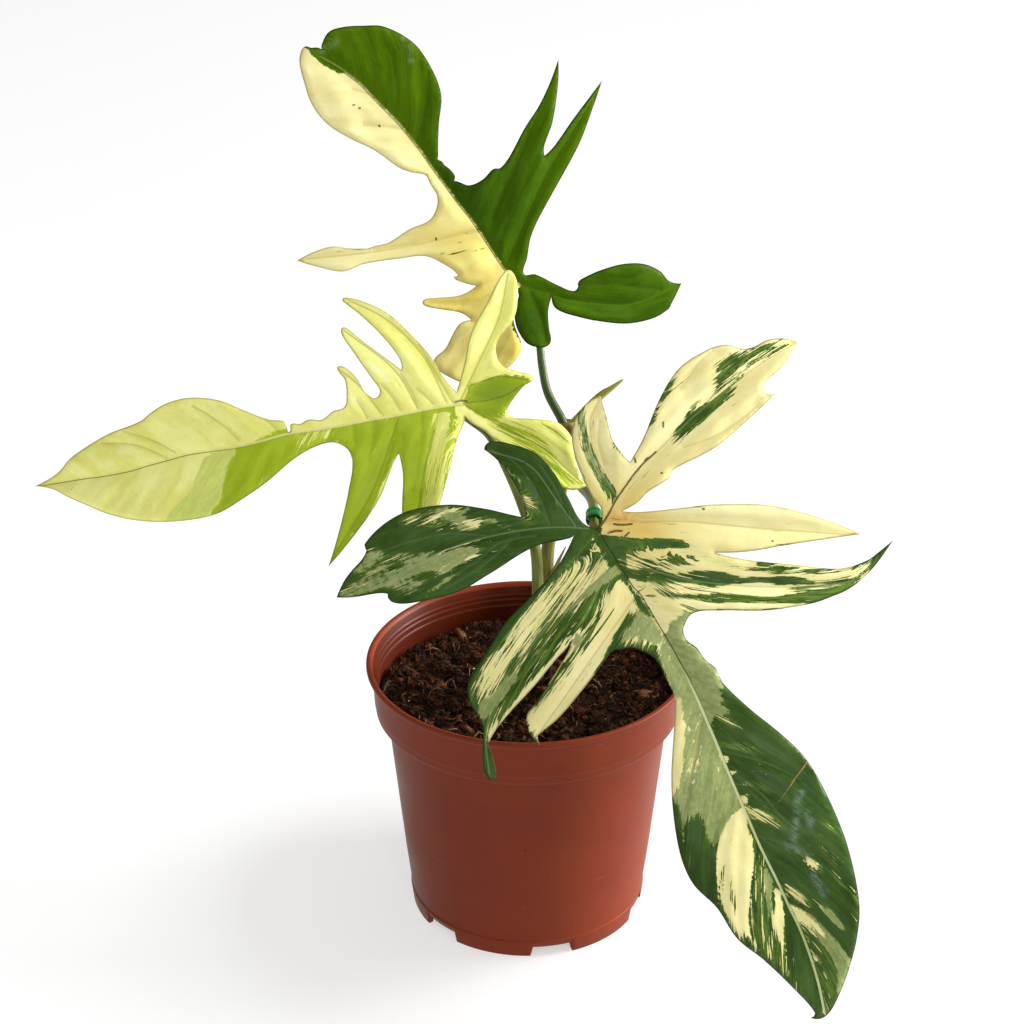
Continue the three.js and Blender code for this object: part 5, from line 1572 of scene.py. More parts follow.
def relief(leaf, plan):
    """Height of the bent blade over its flat plan."""
    u, v = plan[:, 0], plan[:, 1]
    rise = leaf["arch"] * (leaf["crest"] * u - u * u / 2) - leaf["droop"] * v * v / 2
    for du, dv, reach, depth in leaf["dents"]:
        rise = rise + depth * np.exp(-((u - du) ** 2 + (v - dv) ** 2) / reach ** 2)
    total = sum(np.exp(-to_line(plan, rib)[0] / GUTTER_BLEND) for rib in leaf["ribs"])
    away = np.hypot(np.maximum(0, -GUTTER_BLEND * np.log(total)), 1) - 1
    return rise + GUTTER_SLOPE * GUTTER_WIDTH * (1 - np.exp(-away / GUTTER_WIDTH))


def slopes(value_at, plan, step):
    """How fast a value grows along u and along v at each place of the plan."""
    return [
        (value_at(plan + way) - value_at(plan - way)) / (2 * step) for way in np.array([[step, 0], [0, step]])
    ]


def on_leaf(leaf, plan, offset, extra=0.0):
    """Places of the blade in space, moved along its own normal by offset."""
    plan = np.atleast_2d(np.asarray(plan, float))
    facing, along, across = leaf_axes(leaf)
    slope_u, slope_v = slopes(lambda place: relief(leaf, place), plan, SLOPE_STEP)
    normal = unit(facing - slope_u[:, None] * along - slope_v[:, None] * across)
    base = np.array(leaf["junction"]) + plan[:, :1] * along + plan[:, 1:] * across
    base = base + (relief(leaf, plan) + extra)[:, None] * facing
    return base + np.broadcast_to(np.asarray(offset, float), len(plan))[:, None] * normal


# %% [markdown]
# ## From the photograph to the plan
#
# The variegation is read off the photograph, in pixels, because that is where its outlines can
# be seen. The camera's own rule says which pixel shows a place, and the blade's rule says where
# a place of the plan lies. Newton's method runs both backwards: from the nearest place of a
# coarse net it walks to the place in the plan that the camera sees at the pixel.

# %% From the photograph to the plan
PICTURE = 1024
NET = np.array([(u, v) for u in range(-50, 215, 6) for v in range(-110, 110, 6)], float)
SKIN = 0.23
LONGEST_WALK = 6


def seen_at(points):
    """The pixel of the photograph that shows each place in millimetres."""
    away = points - CAMERA_PLACE
    depth = away @ [0, math.cos(VIEW_DOWN), -math.sin(VIEW_DOWN)]
    up = away @ [0, math.sin(VIEW_DOWN), math.cos(VIEW_DOWN)]
    reach = LENS / SENSOR * PICTURE
    return PICTURE / 2 + reach * np.column_stack([away[:, 0], -up]) / depth[:, None]


def from_photo(leaf, pixels):
    """The places of the plan that the camera sees at these pixels."""
    def seen(plan):
        return seen_at(on_leaf(leaf, plan, SKIN))

    pixels = np.array(pixels, float)
    plan = NET[np.argmin(((seen(NET)[None] - pixels[:, None]) ** 2).sum(2), axis=1)]
    for _ in range(25):
        missing = pixels - seen(plan)
        by_u, by_v = slopes(seen, plan, 0.05)
        spread = by_u[:, 0] * by_v[:, 1] - by_u[:, 1] * by_v[:, 0]
        walk = np.column_stack([
            missing[:, 0] * by_v[:, 1] - missing[:, 1] * by_v[:, 0],
            by_u[:, 0] * missing[:, 1] - by_u[:, 1] * missing[:, 0],
        ]) / spread[:, None]
        length = np.linalg.norm(walk, axis=1)[:, None]
        plan = plan + walk * np.minimum(1, LONGEST_WALK / np.maximum(length, 1e-9))
    return plan


LINES = ("veins", "dark_lines", "scratches", "films")
BLOBS = ("stains", "tints", "deeps")


def read_off(leaf):
    """Turn all the pixels of a leaf's lines, patches and blobs into places of its plan at once."""
    lists = [line for key in LINES for line in leaf[key]]
    lists += [outline for _, _, outline in leaf["patches"]]
    lists += [[blob[:2]] for key in BLOBS for blob in leaf[key]]
    ends = np.cumsum([len(pixels) for pixels in lists])
    found = iter(np.split(from_photo(leaf, np.vstack(lists)), ends[:-1]))
    for key in LINES:
        leaf[key] = [next(found) for _ in leaf[key]]
    leaf["patches"] = [(kind, fray, next(found)) for kind, fray, _ in leaf["patches"]]
    for key in BLOBS:
        leaf[key] = [(*next(found)[0], *blob[2:]) for blob in leaf[key]]
    print("pixels read off:", ends[-1], "patches:", len(leaf["patches"]), "veins:", len(leaf["veins"]))


LEAVES = (TOP_LEAF, LEFT_LEAF, FRONT_LEAF)
for leaf in LEAVES:
    read_off(leaf)

# %% [markdown]
# ## Leaf stalks
#
# The stalks end in the keel behind their blades, so they are grown once the blades' own places
# are known. Each thickens a little at its foot, where it clasps the stem, and again in the
# short joint just below the blade.

# %% Leaf stalks
JOINT_AT = 0.93


def stalk_radius(at_foot, at_end):
    def radius(t):
        swell = 0.35 * bell(t, 0.04) + 0.25 * bell(t - JOINT_AT, 0.03)
        return at_foot + (at_end - at_foot) * t + swell
    return radius


def stalk_line(path, leaf):
    """The path of a stalk, drawn on to the keel behind its blade, a little up the midrib."""
    return [*path, tuple(on_leaf(leaf, [3, 0.4], -1.1)[0])]


olive = skin("petiole_olive", shade(112, 118, 40), shade(72, 80, 20), shade(104, 74, 36), 0.35)
dark = skin("petiole_green", shade(62, 86, 32), shade(38, 58, 18), shade(84, 76, 40), 0.15)
left_line = stalk_line(LEFT_STALK, LEFT_LEAF)
top_line = stalk_line(TOP_STALK, TOP_LEAF)
front_line = stalk_line(FRONT_STALK, FRONT_LEAF)
grow("petiole_left_stalk", left_line, stalk_radius(2.65, 1.45), olive,
     ["petiole_left"], (JOINT_AT,), 0.012)
grow("petiole_top_stalk", top_line, stalk_radius(1.7, 1.15), dark,
     ["petiole_top"], (0.04,), 0.01)
grow("petiole_front_stalk", front_line, stalk_radius(2.1, 1.6), olive,
     ["petiole_front"], (0.02, 0.94), 0.014)

# %% [markdown]
# ## Fine mesh of a blade
#
# The margin becomes a smooth closed curve through its points, sharp at each tip and notch. A
# Delaunay split of the plan then fills it with nearly even triangles that also follow every rib
# and side vein, so that creases and colour lines stay crisp. The blade is thin at its edge and
# thicker inside, and a rounded keel stands out behind each rib.

# %% Smooth margin and lines
PLAN_STEP = 0.95


def margin_curve(margin, step):
    """The margin's points joined by cubic curves, as in the CAD source."""
    count = len(margin)
    places = [np.array(m[:2], float) for m in margin]

    def heading_at(i):
        if len(margin[i]) > 2:
            return None
        way = places[(i + 1) % count] - places[i - 1]
        return way / np.hypot(*way)

    def way_at_end(own, other, straight):
        """A tip or notch has no way of its own, and takes the other end's, mirrored in the chord."""
        if own is not None:
            return own
        return straight if other is None else 2 * straight * (straight @ other) - other

    curve = []
    for i in range(count):
        start, end = places[i], places[(i + 1) % count]
        chord = end - start
        length = np.hypot(*chord)
        straight = chord / length
        leave, arrive = heading_at(i), heading_at((i + 1) % count)
        one = start + way_at_end(leave, arrive, straight) * length / 3
        two = end - way_at_end(arrive, leave, straight) * length / 3
        pieces = max(2, round(length / step))
        for t in np.arange(pieces) / pieces:
            rest = 1 - t
            curve.append(
                rest ** 3 * start + 3 * t * rest ** 2 * one + 3 * t * t * rest * two + t ** 3 * end
            )
    return np.array(curve)


def inside_curve(places, curve):
    inside = np.zeros(len(places), bool)
    u, v = places[:, 0], places[:, 1]
    for (u0, v0), (u1, v1) in zip(curve, np.roll(curve, -1, axis=0)):
        if v0 != v1:
            crosses = (v0 > v) != (v1 > v)
            inside ^= crosses & (u < (u1 - u0) * (v - v0) / (v1 - v0) + u0)
    return inside


def smooth_plan_line(line, step=1.0):
    """A rib or vein as a smooth line in the plan, with places about a step apart."""
    line = np.asarray(line, float)
    length = np.hypot(*np.diff(line, axis=0).T).sum()
    return smooth_line(line, max(3, round(length / step) + 1))


print("places on the top leaf's margin:", len(margin_curve(TOP_LEAF["margin"], PLAN_STEP)))

# %% Fine mesh of a blade
ROW_STEP = 0.866 * PLAN_STEP
LINE_TO_MARGIN = 0.45
LINE_TO_LINE = 0.5
GRID_TO_MARGIN = 0.5 * PLAN_STEP
GRID_TO_LINE = 0.42 * PLAN_STEP


def split_plan(leaf):
    """Places in the plan, triangles between them, and how many places make the margin."""
    margin = margin_curve(leaf["margin"], PLAN_STEP)
    closed = np.vstack([margin, margin[:1]])
    lines = [*leaf["dark_lines"], *leaf["ribs"], *leaf["veins"]]
    chains = [smooth_plan_line(line, PLAN_STEP) for line in lines]
    drawn = np.zeros((0, 2))
    for chain in chains:
        keep = inside_curve(chain, margin) & (to_line(chain, closed)[0] > LINE_TO_MARGIN)
        if len(drawn):
            gap = np.linalg.norm(chain[:, None] - drawn[None], axis=2).min(1)
            keep &= gap > LINE_TO_LINE
        drawn = np.vstack([drawn, chain[keep]])
    low, high = margin.min(0), margin.max(0)
    grid = np.array([
        (u + (0.5 * PLAN_STEP if i % 2 else 0), v)
        for i, v in enumerate(np.arange(low[1], high[1], ROW_STEP))
        for u in np.arange(low[0], high[0], PLAN_STEP)
    ])
    grid = grid[inside_curve(grid, margin)]
    grid = grid[to_line(grid, closed)[0] > GRID_TO_MARGIN]
    for chain in chains:
        grid = grid[to_line(grid, chain)[0] > GRID_TO_LINE]
    places = np.vstack([margin, drawn, grid])
    loop = [(i, (i + 1) % len(margin)) for i in range(len(margin))]
    found, _, faces, *_ = geometry.delaunay_2d_cdt(
        [Vector(p) for p in places], loop, [list(range(len(margin)))], 1, 1e-6
    )
    return np.array([tuple(p) for p in found]), faces, len(margin)


for leaf in LEAVES:
    leaf["split"] = split_plan(leaf)
    places, triangles, rim = leaf["split"]
    print("plan places:", len(places), "triangles:", len(triangles), "margin:", rim)

# %% [markdown]
# ## Variegation
#
# The cells of a variegated leaf lose their green in whole families, and a family grows outwards
# between two side veins. So the colours lie in streaks along the veins, and the end of a patch
# is torn along them, not across. Two things make that here. A streak number is the same all
# along a vein and changes across it: near the midrib it is how far up the midrib the vein
# starts, and beside a lobe's own rib it is the distance from that rib. Then each patch gives
# every place a leaning to green or to cream, which fades over a few millimetres at its outline,
# and the finish lets a noise that is long along the streaks decide where the leaning is weak.

# %% Variegation
LEANING = {
    # name: leaning to green, leaning to the middle shade
    "green": (1.55, -1.7),
    "green_streak": (1.0, -1.4),
    "solid": (3.2, -1.8),
    "green_mix": (0.65, -1.3),
    "green_patch": (0.65, -1.5),
    "green_dash": (1.8, -1.8),
    "mixed": (0.05, -1.2),
    "cream": (-1.7, -1.9),
    "cream_streak": (-0.6, -1.4),
    "cream_dash": (-1.8, -1.8),
    "sage": (0.2, 1.4),
    "sage_cream": (-0.8, 0.7),
    "sage_mix": (1.0, 0.15),
    "lime": (1.9, -1.5),
    "lime_mix": (0.2, -1.2),
    "pale_green": (-1.2, 1.8),
    "pale_streak": (-0.9, -1.3),
}


def outline_depth(places, outline):
    """How deep inside an outline each place is, below zero outside it."""
    outline = np.asarray(outline, float)
    distance = to_line(places, np.vstack([outline, outline[:1]]))[0]
    return np.where(inside_curve(places, outline), distance, -distance)


def ease(x, low, high):
    """From 0 at low to 1 at high, with soft ends."""
    t = np.clip((x - low) / (high - low), 0, 1)
    return t * t * (3 - 2 * t)


def midrib_frame(leaf, places):
    """For each place the nearest point of the midrib, the way off it, and the distance."""
    main = smooth_plan_line(leaf["ribs"][0])
    distance, side, along = to_line(places, main)
    walked = np.r_[0, np.cumsum(np.linalg.norm(np.diff(main, axis=0), axis=1))]
    foot = np.column_stack([np.interp(along, walked, main[:, k]) for k in (0, 1)])
    ways = np.column_stack([np.interp(along, walked, np.gradient(main[:, k], walked)) for k in (0, 1)])
    near = (distance < 1.6) & (along > 2) & (along < walked[-1] - 2)
    side = np.where(side == 0, 1.0, side)
    return foot, side[:, None] * np.column_stack([-ways[:, 1], ways[:, 0]]), distance, near


def painted(leaf, places):
    """Leanings to green and to the middle shade, patch over patch."""
    green = np.full(len(places), leaf["base"][0])
    middle = np.full(len(places), leaf["base"][1])
    if leaf["halved"]:
        distance, side, _ = to_line(places, smooth_plan_line(leaf["ribs"][0]))
        green = green + (3.0 - green) * ease(-side * distance, -0.2, 0.2)
    for kind, fray, outline in leaf["patches"]:
        corner = np.array(outline, float)
        near = ((places > corner.min(0) - fray) & (places < corner.max(0) + fray)).all(1)
        share = ease(outline_depth(places[near], corner), -fray / 2, fray / 2)
        green[near] += (LEANING[kind][0] - green[near]) * share
        middle[near] += (LEANING[kind][1] - middle[near]) * share
    return green, middle


def smeared(leaf, places):
    """The leanings averaged over a few millimetres along the veins, so that ends are torn."""
    slope_u, slope_v = slopes(lambda place: streak_number(leaf, place), places, 0.3)
    along = np.column_stack([-slope_v, slope_u])
    along /= np.linalg.norm(along, axis=1)[:, None] + 1e-9
    steps = np.array([-1, -0.5, 0, 0.5, 1]) * leaf["smear"]
    return np.mean([painted(leaf, places + along * step) for step in steps], axis=0)


def paint(leaf, places):
    """The leanings at every place. They change sharply at the midrib, where they are averaged."""
    foot, off, distance, near = midrib_frame(leaf, places)
    reach = (1.0 + 0.4 * distance)[:, None]
    spread = smeared(leaf, places)
    here = painted(leaf, np.where(near[:, None], foot + off * reach, places))
    across = painted(leaf, foot - off * reach)
    share = np.where(near, 0.5 * ease(-distance, -0.3, -0.1), 0.0)
    calm = ease(distance, leaf["smear"] + 1.0, leaf["smear"] + 3.0)
    return [(a + (b - a) * share) * (1 - calm) + c * calm for a, b, c in zip(here, across, spread)]


print("kinds of patch:", len(LEANING))

# %% Streak number
COARSE_STEP = 2.0
BRANCH_OFF = 7
BRANCH_PLACES = 14
LONGEST_MIDRIB = 260
STEEPEST_VEIN = 88
VEIN_CURVE = 0.002
STREAK_BLEND = 2.5
LOBE_SHARE = 0.85
FAR = 1000.0


def branch_angles(leaf, main):
    """For each side of the midrib, where the ribs that start near it branch off, at what angle."""
    found = {-1: [], 1: []}
    ways = np.gradient(main, axis=0)
    for rib in leaf["ribs"][1:]:
        line = smooth_plan_line(rib, COARSE_STEP)
        away, _, start = to_line(line[:1], main)
        if away[0] > BRANCH_OFF:
            continue
        reach = line[min(len(line) - 1, BRANCH_PLACES)] - line[0]
        way = ways[np.argmin(np.linalg.norm(main - line[0], axis=1))]
        turn = math.degrees(math.atan2(way[0] * reach[1] - way[1] * reach[0], way @ reach))
        found[1 if turn > 0 else -1].append((start[0], abs(turn)))
    return {side: sorted(pairs) + leaf["slants"] for side, pairs in found.items()}


def streak_number(leaf, places):
    """A number that stays the same along the side veins and grows towards the tip."""
    main = smooth_plan_line(leaf["ribs"][0], COARSE_STEP)
    distance, side, along = to_line(places, main)
    walked = np.arange(0, LONGEST_MIDRIB, 1.0)
    start_number, lean = np.zeros(len(places)), np.zeros(len(places))
    for which, pairs in branch_angles(leaf, main).items():
        starts, turns = np.array(pairs).T
        turn = np.radians(np.minimum(np.interp(walked, starts, turns), STEEPEST_VEIN))
        climbed = np.interp(along, walked, np.cumsum(np.sin(turn)))
        start_number = np.where(side == which, climbed, start_number)
        lean = np.where(side == which, np.interp(along, walked, np.cos(turn)), lean)
    numbers = [start_number - distance * lean - VEIN_CURVE * distance ** 2]
    weights = [np.exp(-distance / STREAK_BLEND)]
    for rib in leaf["ribs"][1:]:
        line = smooth_plan_line(rib, COARSE_STEP)
        _, _, start = to_line(line[:1], main)
        reach = line[-1] - line[0]
        towards_tip = -1 if np.cross(main[-1] - main[0], reach) > 0 else 1
        away, rib_side, _ = to_line(places, line)
        numbers.append(towards_tip * rib_side * away + start[0] * LOBE_SHARE)
        weights.append(np.exp(-away / STREAK_BLEND))
    weights = np.array(weights) + 1e-12
    return (np.array(numbers) * weights).sum(0) / weights.sum(0)


def nearest_of(places, lines):
    """How far each place is from the nearest of these lines."""
    distance = np.full(len(places), FAR)
    for line in lines:
        distance = np.minimum(distance, to_line(places, smooth_plan_line(line))[0])
    return distance


tip = np.array([TOP_LEAF["ribs"][0][-1]], float)
print("streak number at the top leaf's tip:", round(float(streak_number(TOP_LEAF, tip)[0]), 1))

# %% [markdown]
# ## Leaf finish
#
# One finish serves all three leaves, with its own shades for each. Cream, middle and green are
# each mottled, then mixed by the leanings and the streak noises with a hard edge. Stains tint the
# cream. The ribs and side veins are thin lines by distance, the margin has a fine dark line, and
# the underside is paler. Green parts are glossier than cream ones, and a low bump follows the
# veins and the cells.

# %% Noises and shades of the leaves
NOISES = {
    # name: stretch along u, v and the streak number, scale, detail, roughness
    "broad": ((0.05, 0.05, 0.42), 1.0, 2, 0.5),
    "streaks": ((0.055, 0.055, 1.3), 1.0, 5, 0.68),
    "threads": ((0.09, 0.09, 2.5), 1.0, 3, 0.6),
    "other": ((0.06, 0.07, 1.2), 1.3, 4, 0.6),
    "cells": ((0.42, 0.42, 0.3), 1.0, 4, 0.6),
    "soft": ((0.035, 0.04, 0.12), 1.0, 2, 0.5),
}
CREAMS = [(234, 226, 168), (222, 210, 144), (206, 204, 126)]
SHADES = {
    # cream and green: light, deep, frayed; middle: the two that are mottled; veins: on cream, on
    # green; all others have one shade, and the groove's is also the margin's on green
    # the sheen shade is the pale colour of painted reflections on the gloss
    "leaf_cream_green": {
        "cream": CREAMS, "middle": [(150, 160, 80), (176, 182, 100)],
        "green": [(80, 112, 4), (58, 90, 0), (112, 138, 20)], "veins": [(206, 186, 104), (92, 124, 30)],
        "midrib": [(190, 186, 110)], "groove": [(30, 46, 4)], "cream_edge": [(176, 160, 92)],
        "mark": [(84, 66, 20)], "film": [(140, 164, 110)],
    },
    "leaf_lime": {
        "cream": [(248, 247, 158), (228, 226, 118), (210, 218, 90)],
        "middle": [(198, 210, 100), (212, 220, 120)],
        "green": [(174, 195, 38), (152, 173, 18), (188, 204, 58)], "veins": [(170, 168, 66), (124, 144, 30)],
        "midrib": [(226, 226, 140)], "groove": [(130, 132, 40)], "cream_edge": [(160, 156, 70)],
        "mark": [(112, 100, 60)], "film": [(250, 250, 232)],
    },
    "leaf_marbled": {
        "cream": CREAMS, "middle": [(122, 138, 80), (150, 158, 102)],
        "green": [(62, 90, 40), (38, 64, 14), (98, 124, 44)], "veins": [(196, 176, 104), (104, 130, 88)],
        "midrib": [(196, 206, 152)], "groove": [(28, 44, 14)], "cream_edge": [(150, 140, 84)],
        "mark": [(78, 62, 14)], "film": [(140, 166, 152)],
    },
}
YELLOWED = shade(206, 184, 86)
RUSTY = shade(190, 134, 50)
BROWNED = shade(110, 66, 20)
SCRATCHED = shade(158, 122, 84)
UNDERSIDE = shade(170, 178, 120)
# how the darker spots multiply a colour: partly the leaf's own deeper tone, partly painted shade
DEEPENING_AND_SHADE = (0.37, 0.46, 0.08)


class LeafFinish(Finish):
    """A finish that knows a leaf's noises and shades by name, and paints layer over layer."""

    def __init__(self, name, specular):
        super().__init__(name, roughness=0.42, specular=specular)
        plan = self.attribute("plan", "Vector")
        for key, (stretch, *rest) in NOISES.items():
            setattr(self, key, self.noise(self.stretch(plan, stretch), *rest))
        self.shades = {key: [shade(*screen) for screen in found] for key, found in SHADES[name].items()}
        self.colour = None

    def swings(self, **sizes):
        """The sum of a few noises, each as a swing of its own size."""
        return self.plus(*(self.swing(getattr(self, key), size) for key, size in sizes.items()))

    def fade(self, name, low, high, to_low=1.0, to_high=0.0):
        """An attribute as a share, full where it is low."""
        return self.step(self.attribute(name), low, high, to_low, to_high)

    def over(self, share, tone):
        """Paint a tone over the colour so far, with this share."""
        self.colour = self.mix(share, self.colour, tone)

    def on_green(self, to_cream, to_green):
        """One number on cream and another on green."""
        return self.step(self.green_share, 0.0, 1.0, to_cream, to_green)


print("noises:", ", ".join(NOISES), "shades for:", ", ".join(SHADES))

# %% Layers of the leaf finish
def variegate(f):
    """Cream and green, mixed by the leaning and the streaks, with the middle shade over both."""
    wander = f.times(f.swings(broad=3.2, streaks=7.0, threads=4.6), f.attribute("loose"))
    leaning = f.attribute("green")
    value = f.plus(leaning, wander)
    f.green_share = f.step(value, -0.09, 0.09)
    torn = f.step(f.math("ABSOLUTE", leaning), 0.7, 1.8, 1.0, 0.15)
    frayed = f.times(f.step(f.other, 0.36, 0.62), torn)
    even = f.step(f.plus(f.times(f.soft, 0.75), f.times(f.cells, 0.25)), 0.35, 0.65)
    light, deep, fray = f.shades["cream"]
    cream = f.mix(f.times(frayed, 0.7), f.mix(even, light, deep), fray)
    light, deep, fray = f.shades["green"]
    inner = f.step(value, 0.2, 1.2)
    green = f.mix(f.times(frayed, inner), f.mix(f.times(even, 0.8), deep, light), fray)
    mottle = f.step(f.plus(f.times(f.other, 0.5), f.times(f.cells, 0.5)), 0.38, 0.62)
    f.colour = f.mix(f.green_share, cream, green)
    to_middle = f.plus(f.attribute("middle"), f.swings(other=2.4, cells=3.4, broad=2.4))
    f.over(f.step(to_middle, -0.45, 0.45), f.mix(mottle, *f.shades["middle"]))


def stain(f):
    """Yellowed and rusty places, which show on the cream alone, and brown threads in the rust."""
    bare = f.math("SUBTRACT", 1.0, f.green_share)
    yellow = f.times(f.attribute("tint"), f.step(f.soft, 0.2, 0.7, 0.55, 1.0))
    f.over(f.times(yellow, bare), YELLOWED)
    rust = f.times(f.attribute("stain"), f.step(f.streaks, 0.3, 0.62, 0.3, 0.85))
    f.over(f.times(rust, bare), RUSTY)
    brown = f.step(f.plus(f.attribute("stain"), f.swings(other=3.0)), 1.25, 1.4)
    f.over(f.times(brown, f.on_green(0.7, 0.0)), BROWNED)


def draw_lines(f):
    """Side veins, ribs, the pale midrib with its dark groove, and the dark margin."""
    vein_tone = f.mix(f.green_share, *f.shades["veins"])
    f.over(f.times(f.fade("vein", 0.0, 0.7, 0.42), f.on_green(1.0, 0.45)), vein_tone)
    f.over(f.fade("rib", 0.12, 0.45, 0.6), vein_tone)
    across = f.attribute("midline")
    pale = f.step(f.math("ABSOLUTE", f.plus(across, 0.12)), 0.3, 0.62, 1.0, 0.0)
    f.over(f.times(pale, f.attribute("palerib")), *f.shades["midrib"])
    dark = f.step(f.math("ABSOLUTE", f.math("SUBTRACT", across, 0.42)), 0.08, 0.3, 1.0, 0.0)
    f.over(f.times(dark, f.attribute("darkrib")), *f.shades["groove"])
    edge_tone = f.mix(f.green_share, *f.shades["cream_edge"], *f.shades["groove"])
    f.over(f.fade("edge", 0.15, 0.7, 0.75), edge_tone)


def mark(f):
    """Dark marks, deeper places that are partly painted shade, the painted sheen of pale
    reflection, scratches, and the pale underside.
    """
    near_mark = f.plus(f.attribute("darkline"), f.swings(cells=0.5))
    f.over(f.step(near_mark, 0.2, 0.5, 0.9, 0.0), *f.shades["mark"])
    # deeper places: partly the leaf's own deeper tone, partly painted shade
    deepened_and_shaded = f.mix(1.0, f.colour, DEEPENING_AND_SHADE, "MULTIPLY")
    f.over(f.times(f.attribute("deep"), f.on_green(0.2, 1.0)), deepened_and_shaded)
    # painted sheen: a pale painted reflection along its lines, broken up by noise
    broken_sheen = f.step(f.plus(f.cells, f.threads), 0.9, 1.1, 0.15, 1.0)
    f.over(f.times(f.attribute("film"), broken_sheen), *f.shades["film"])
    near_scratch = f.plus(f.attribute("scratch"), f.swings(threads=0.7))
    f.over(f.step(near_scratch, 0.15, 0.4, 0.9, 0.0), SCRATCHED)
    f.over(f.times(f.attribute("under"), 0.45), UNDERSIDE)


def leaf_finish(name, rough_cream, rough_green, specular):
    f = LeafFinish(name, specular)
    for layer in (variegate, stain, draw_lines, mark):
        layer(f)
    ridges = f.times(f.fade("vein", 0.0, 1.2, 0.0, 1.0), 0.5)
    height = f.plus(ridges, f.times(f.streaks, 0.25), f.times(f.threads, 0.2), f.times(f.cells, 0.35))
    rough = f.plus(f.on_green(rough_cream, rough_green), f.step(f.cells, 0.3, 0.7, -0.03, 0.03))
    return f.done(f.colour, f.bump(height, 0.00025, 0.5), rough)


top_finish = leaf_finish("leaf_cream_green", 0.58, 0.42, 0.03)
left_finish = leaf_finish("leaf_lime", 0.48, 0.42, 0.2)
front_finish = leaf_finish("leaf_marbled", 0.6, 0.34, 0.1)
print("leaf finishes:", top_finish.name, left_finish.name, front_finish.name)

# %% [markdown]
# ## Leaf blades
#
# The blade's own relief lies over the bent plan: veins and ribs are pressed in from above, the
# flesh between them swells and is faintly pleated along the streaks, and the whole blade waves a
# little. Attributes then tell the finish how far each point is from every kind of line.

# %% Leaf blades
VEIN_GROOVE, VEIN_WIDTH = 0.34, 0.9
RIB_GROOVE, RIB_WIDTH = 0.3, 0.8
SWELL, SWELL_REACH = 0.5, 3.5
PLEAT, PLEAT_PITCH = 0.13, 5.5
EDGE_HALF, INNER_HALF = 0.09, 0.14
KEEL, KEEL_WIDTH = 0.75, 0.7
# painted sheen: how strong the painted reflection is on its lines, and how wide
PAINTED_SHEEN, PAINTED_SHEEN_WIDTH = 0.36, 1.3
NO_RIB = 9.0


def blobs(leaf, key, places):
    """The strongest of a few round blobs (u, v, reach, strength) at every place."""
    found = np.zeros(len(places))
    for u, v, reach, strength in leaf[key]:
        away = np.hypot(places[:, 0] - u, places[:, 1] - v)
        found = np.maximum(found, strength * bell(away, reach))
    return found


def blade_relief(u, v, edge, ribs, veins, streak):
    """How far each point of the blade is raised by its veins, flesh, pleats and waves."""
    pressed = -VEIN_GROOVE * bell(veins, VEIN_WIDTH) - RIB_GROOVE * bell(ribs, RIB_WIDTH)
    swell = SWELL * (1 - bell(veins, SWELL_REACH)) * ease(ribs, 0.5, 5)
    pleats = PLEAT * np.sin(2 * math.pi * streak / PLEAT_PITCH) * ease(ribs, 1, 5)
    waves = 0.22 * np.sin(0.31 * u + 0.17 * v + 1.1) * np.cos(0.12 * u - 0.37 * v)
    waves = waves + 0.25 * np.sin(0.15 * u - 0.2 * v)
    return (pressed + swell + pleats) * ease(edge, 0, 1.8) + waves * ease(ribs, 2, 9)


def blade_faces(places, triangles):
    """The upper face, the lower face and the strip between them round the margin."""
    count = len(places)
    faces, rim_edges = [], {}
    for a, b, c in triangles:
        if np.cross(places[b] - places[a], places[c] - places[a]) < 0:
            b, c = c, b
        faces += [(a, b, c), (a + count, c + count, b + count)]
        for pair in ((a, b), (b, c), (c, a)):
            if pair[::-1] in rim_edges:
                del rim_edges[pair[::-1]]
            else:
                rim_edges[pair] = True
    return faces + [(a, a + count, b + count, b) for a, b in rim_edges]


def build_blade(name, leaf, finish, node):
    places, triangles, rim = leaf["split"]
    u, v = places.T
    edge = to_line(places, np.vstack([places[:rim], places[:1]]))[0]
    ribs, veins = nearest_of(places, leaf["ribs"]), nearest_of(places, leaf["veins"])
    streak = streak_number(leaf, places)
    green, middle = paint(leaf, places)
    main, side, along_main = to_line(places, smooth_plan_line(leaf["ribs"][0]))
    at_foot, at_tip, fade_from, fade_to = leaf["rib_tone"]
    pale_rib = at_foot + (at_tip - at_foot) * ease(along_main, fade_from, fade_to)
    raised = blade_relief(u, v, edge, ribs, veins, streak)
    half = EDGE_HALF + INNER_HALF * ease(edge, 0, 2.5)
    keel = KEEL * bell(ribs, KEEL_WIDTH) * ease(edge, 0.3, 3)
    top = on_leaf(leaf, places, half, raised)
    bottom = on_leaf(leaf, places, -half - keel, raised)
    on_both_faces = {
        "plan": np.column_stack([u, v, streak]),
        "green": green,
        "middle": middle,
        "rib": np.where(ribs < main - 0.05, ribs, NO_RIB),
        "midline": side * main,
        "palerib": pale_rib,
        "darkrib": 0.9 - 0.55 * pale_rib,
        "vein": veins,
        "edge": edge,
        "loose": 0.3 + 0.7 * ease(np.hypot(u, v), 4, 14),
        "scratch": nearest_of(places, leaf["scratches"]),
        "darkline": nearest_of(places, leaf["dark_lines"]),
        # painted reflection along the sheen lines
        "film": PAINTED_SHEEN * bell(nearest_of(places, leaf["films"]), PAINTED_SHEEN_WIDTH),
        # deep: darker spots, partly the leaf's own deeper tone and partly painted shade
        "deep": blobs(leaf, "deeps", places),
        "stain": blobs(leaf, "stains", places),
        "tint": blobs(leaf, "tints", places),
    }
    looks = {key: np.concatenate([values, values]) for key, values in on_both_faces.items()}
    looks["under"] = np.repeat([0.0, 1.0], len(places))
    faces = blade_faces(places, triangles)
    return add_piece(name, np.vstack([top, bottom]), faces, finish, [node], looks)


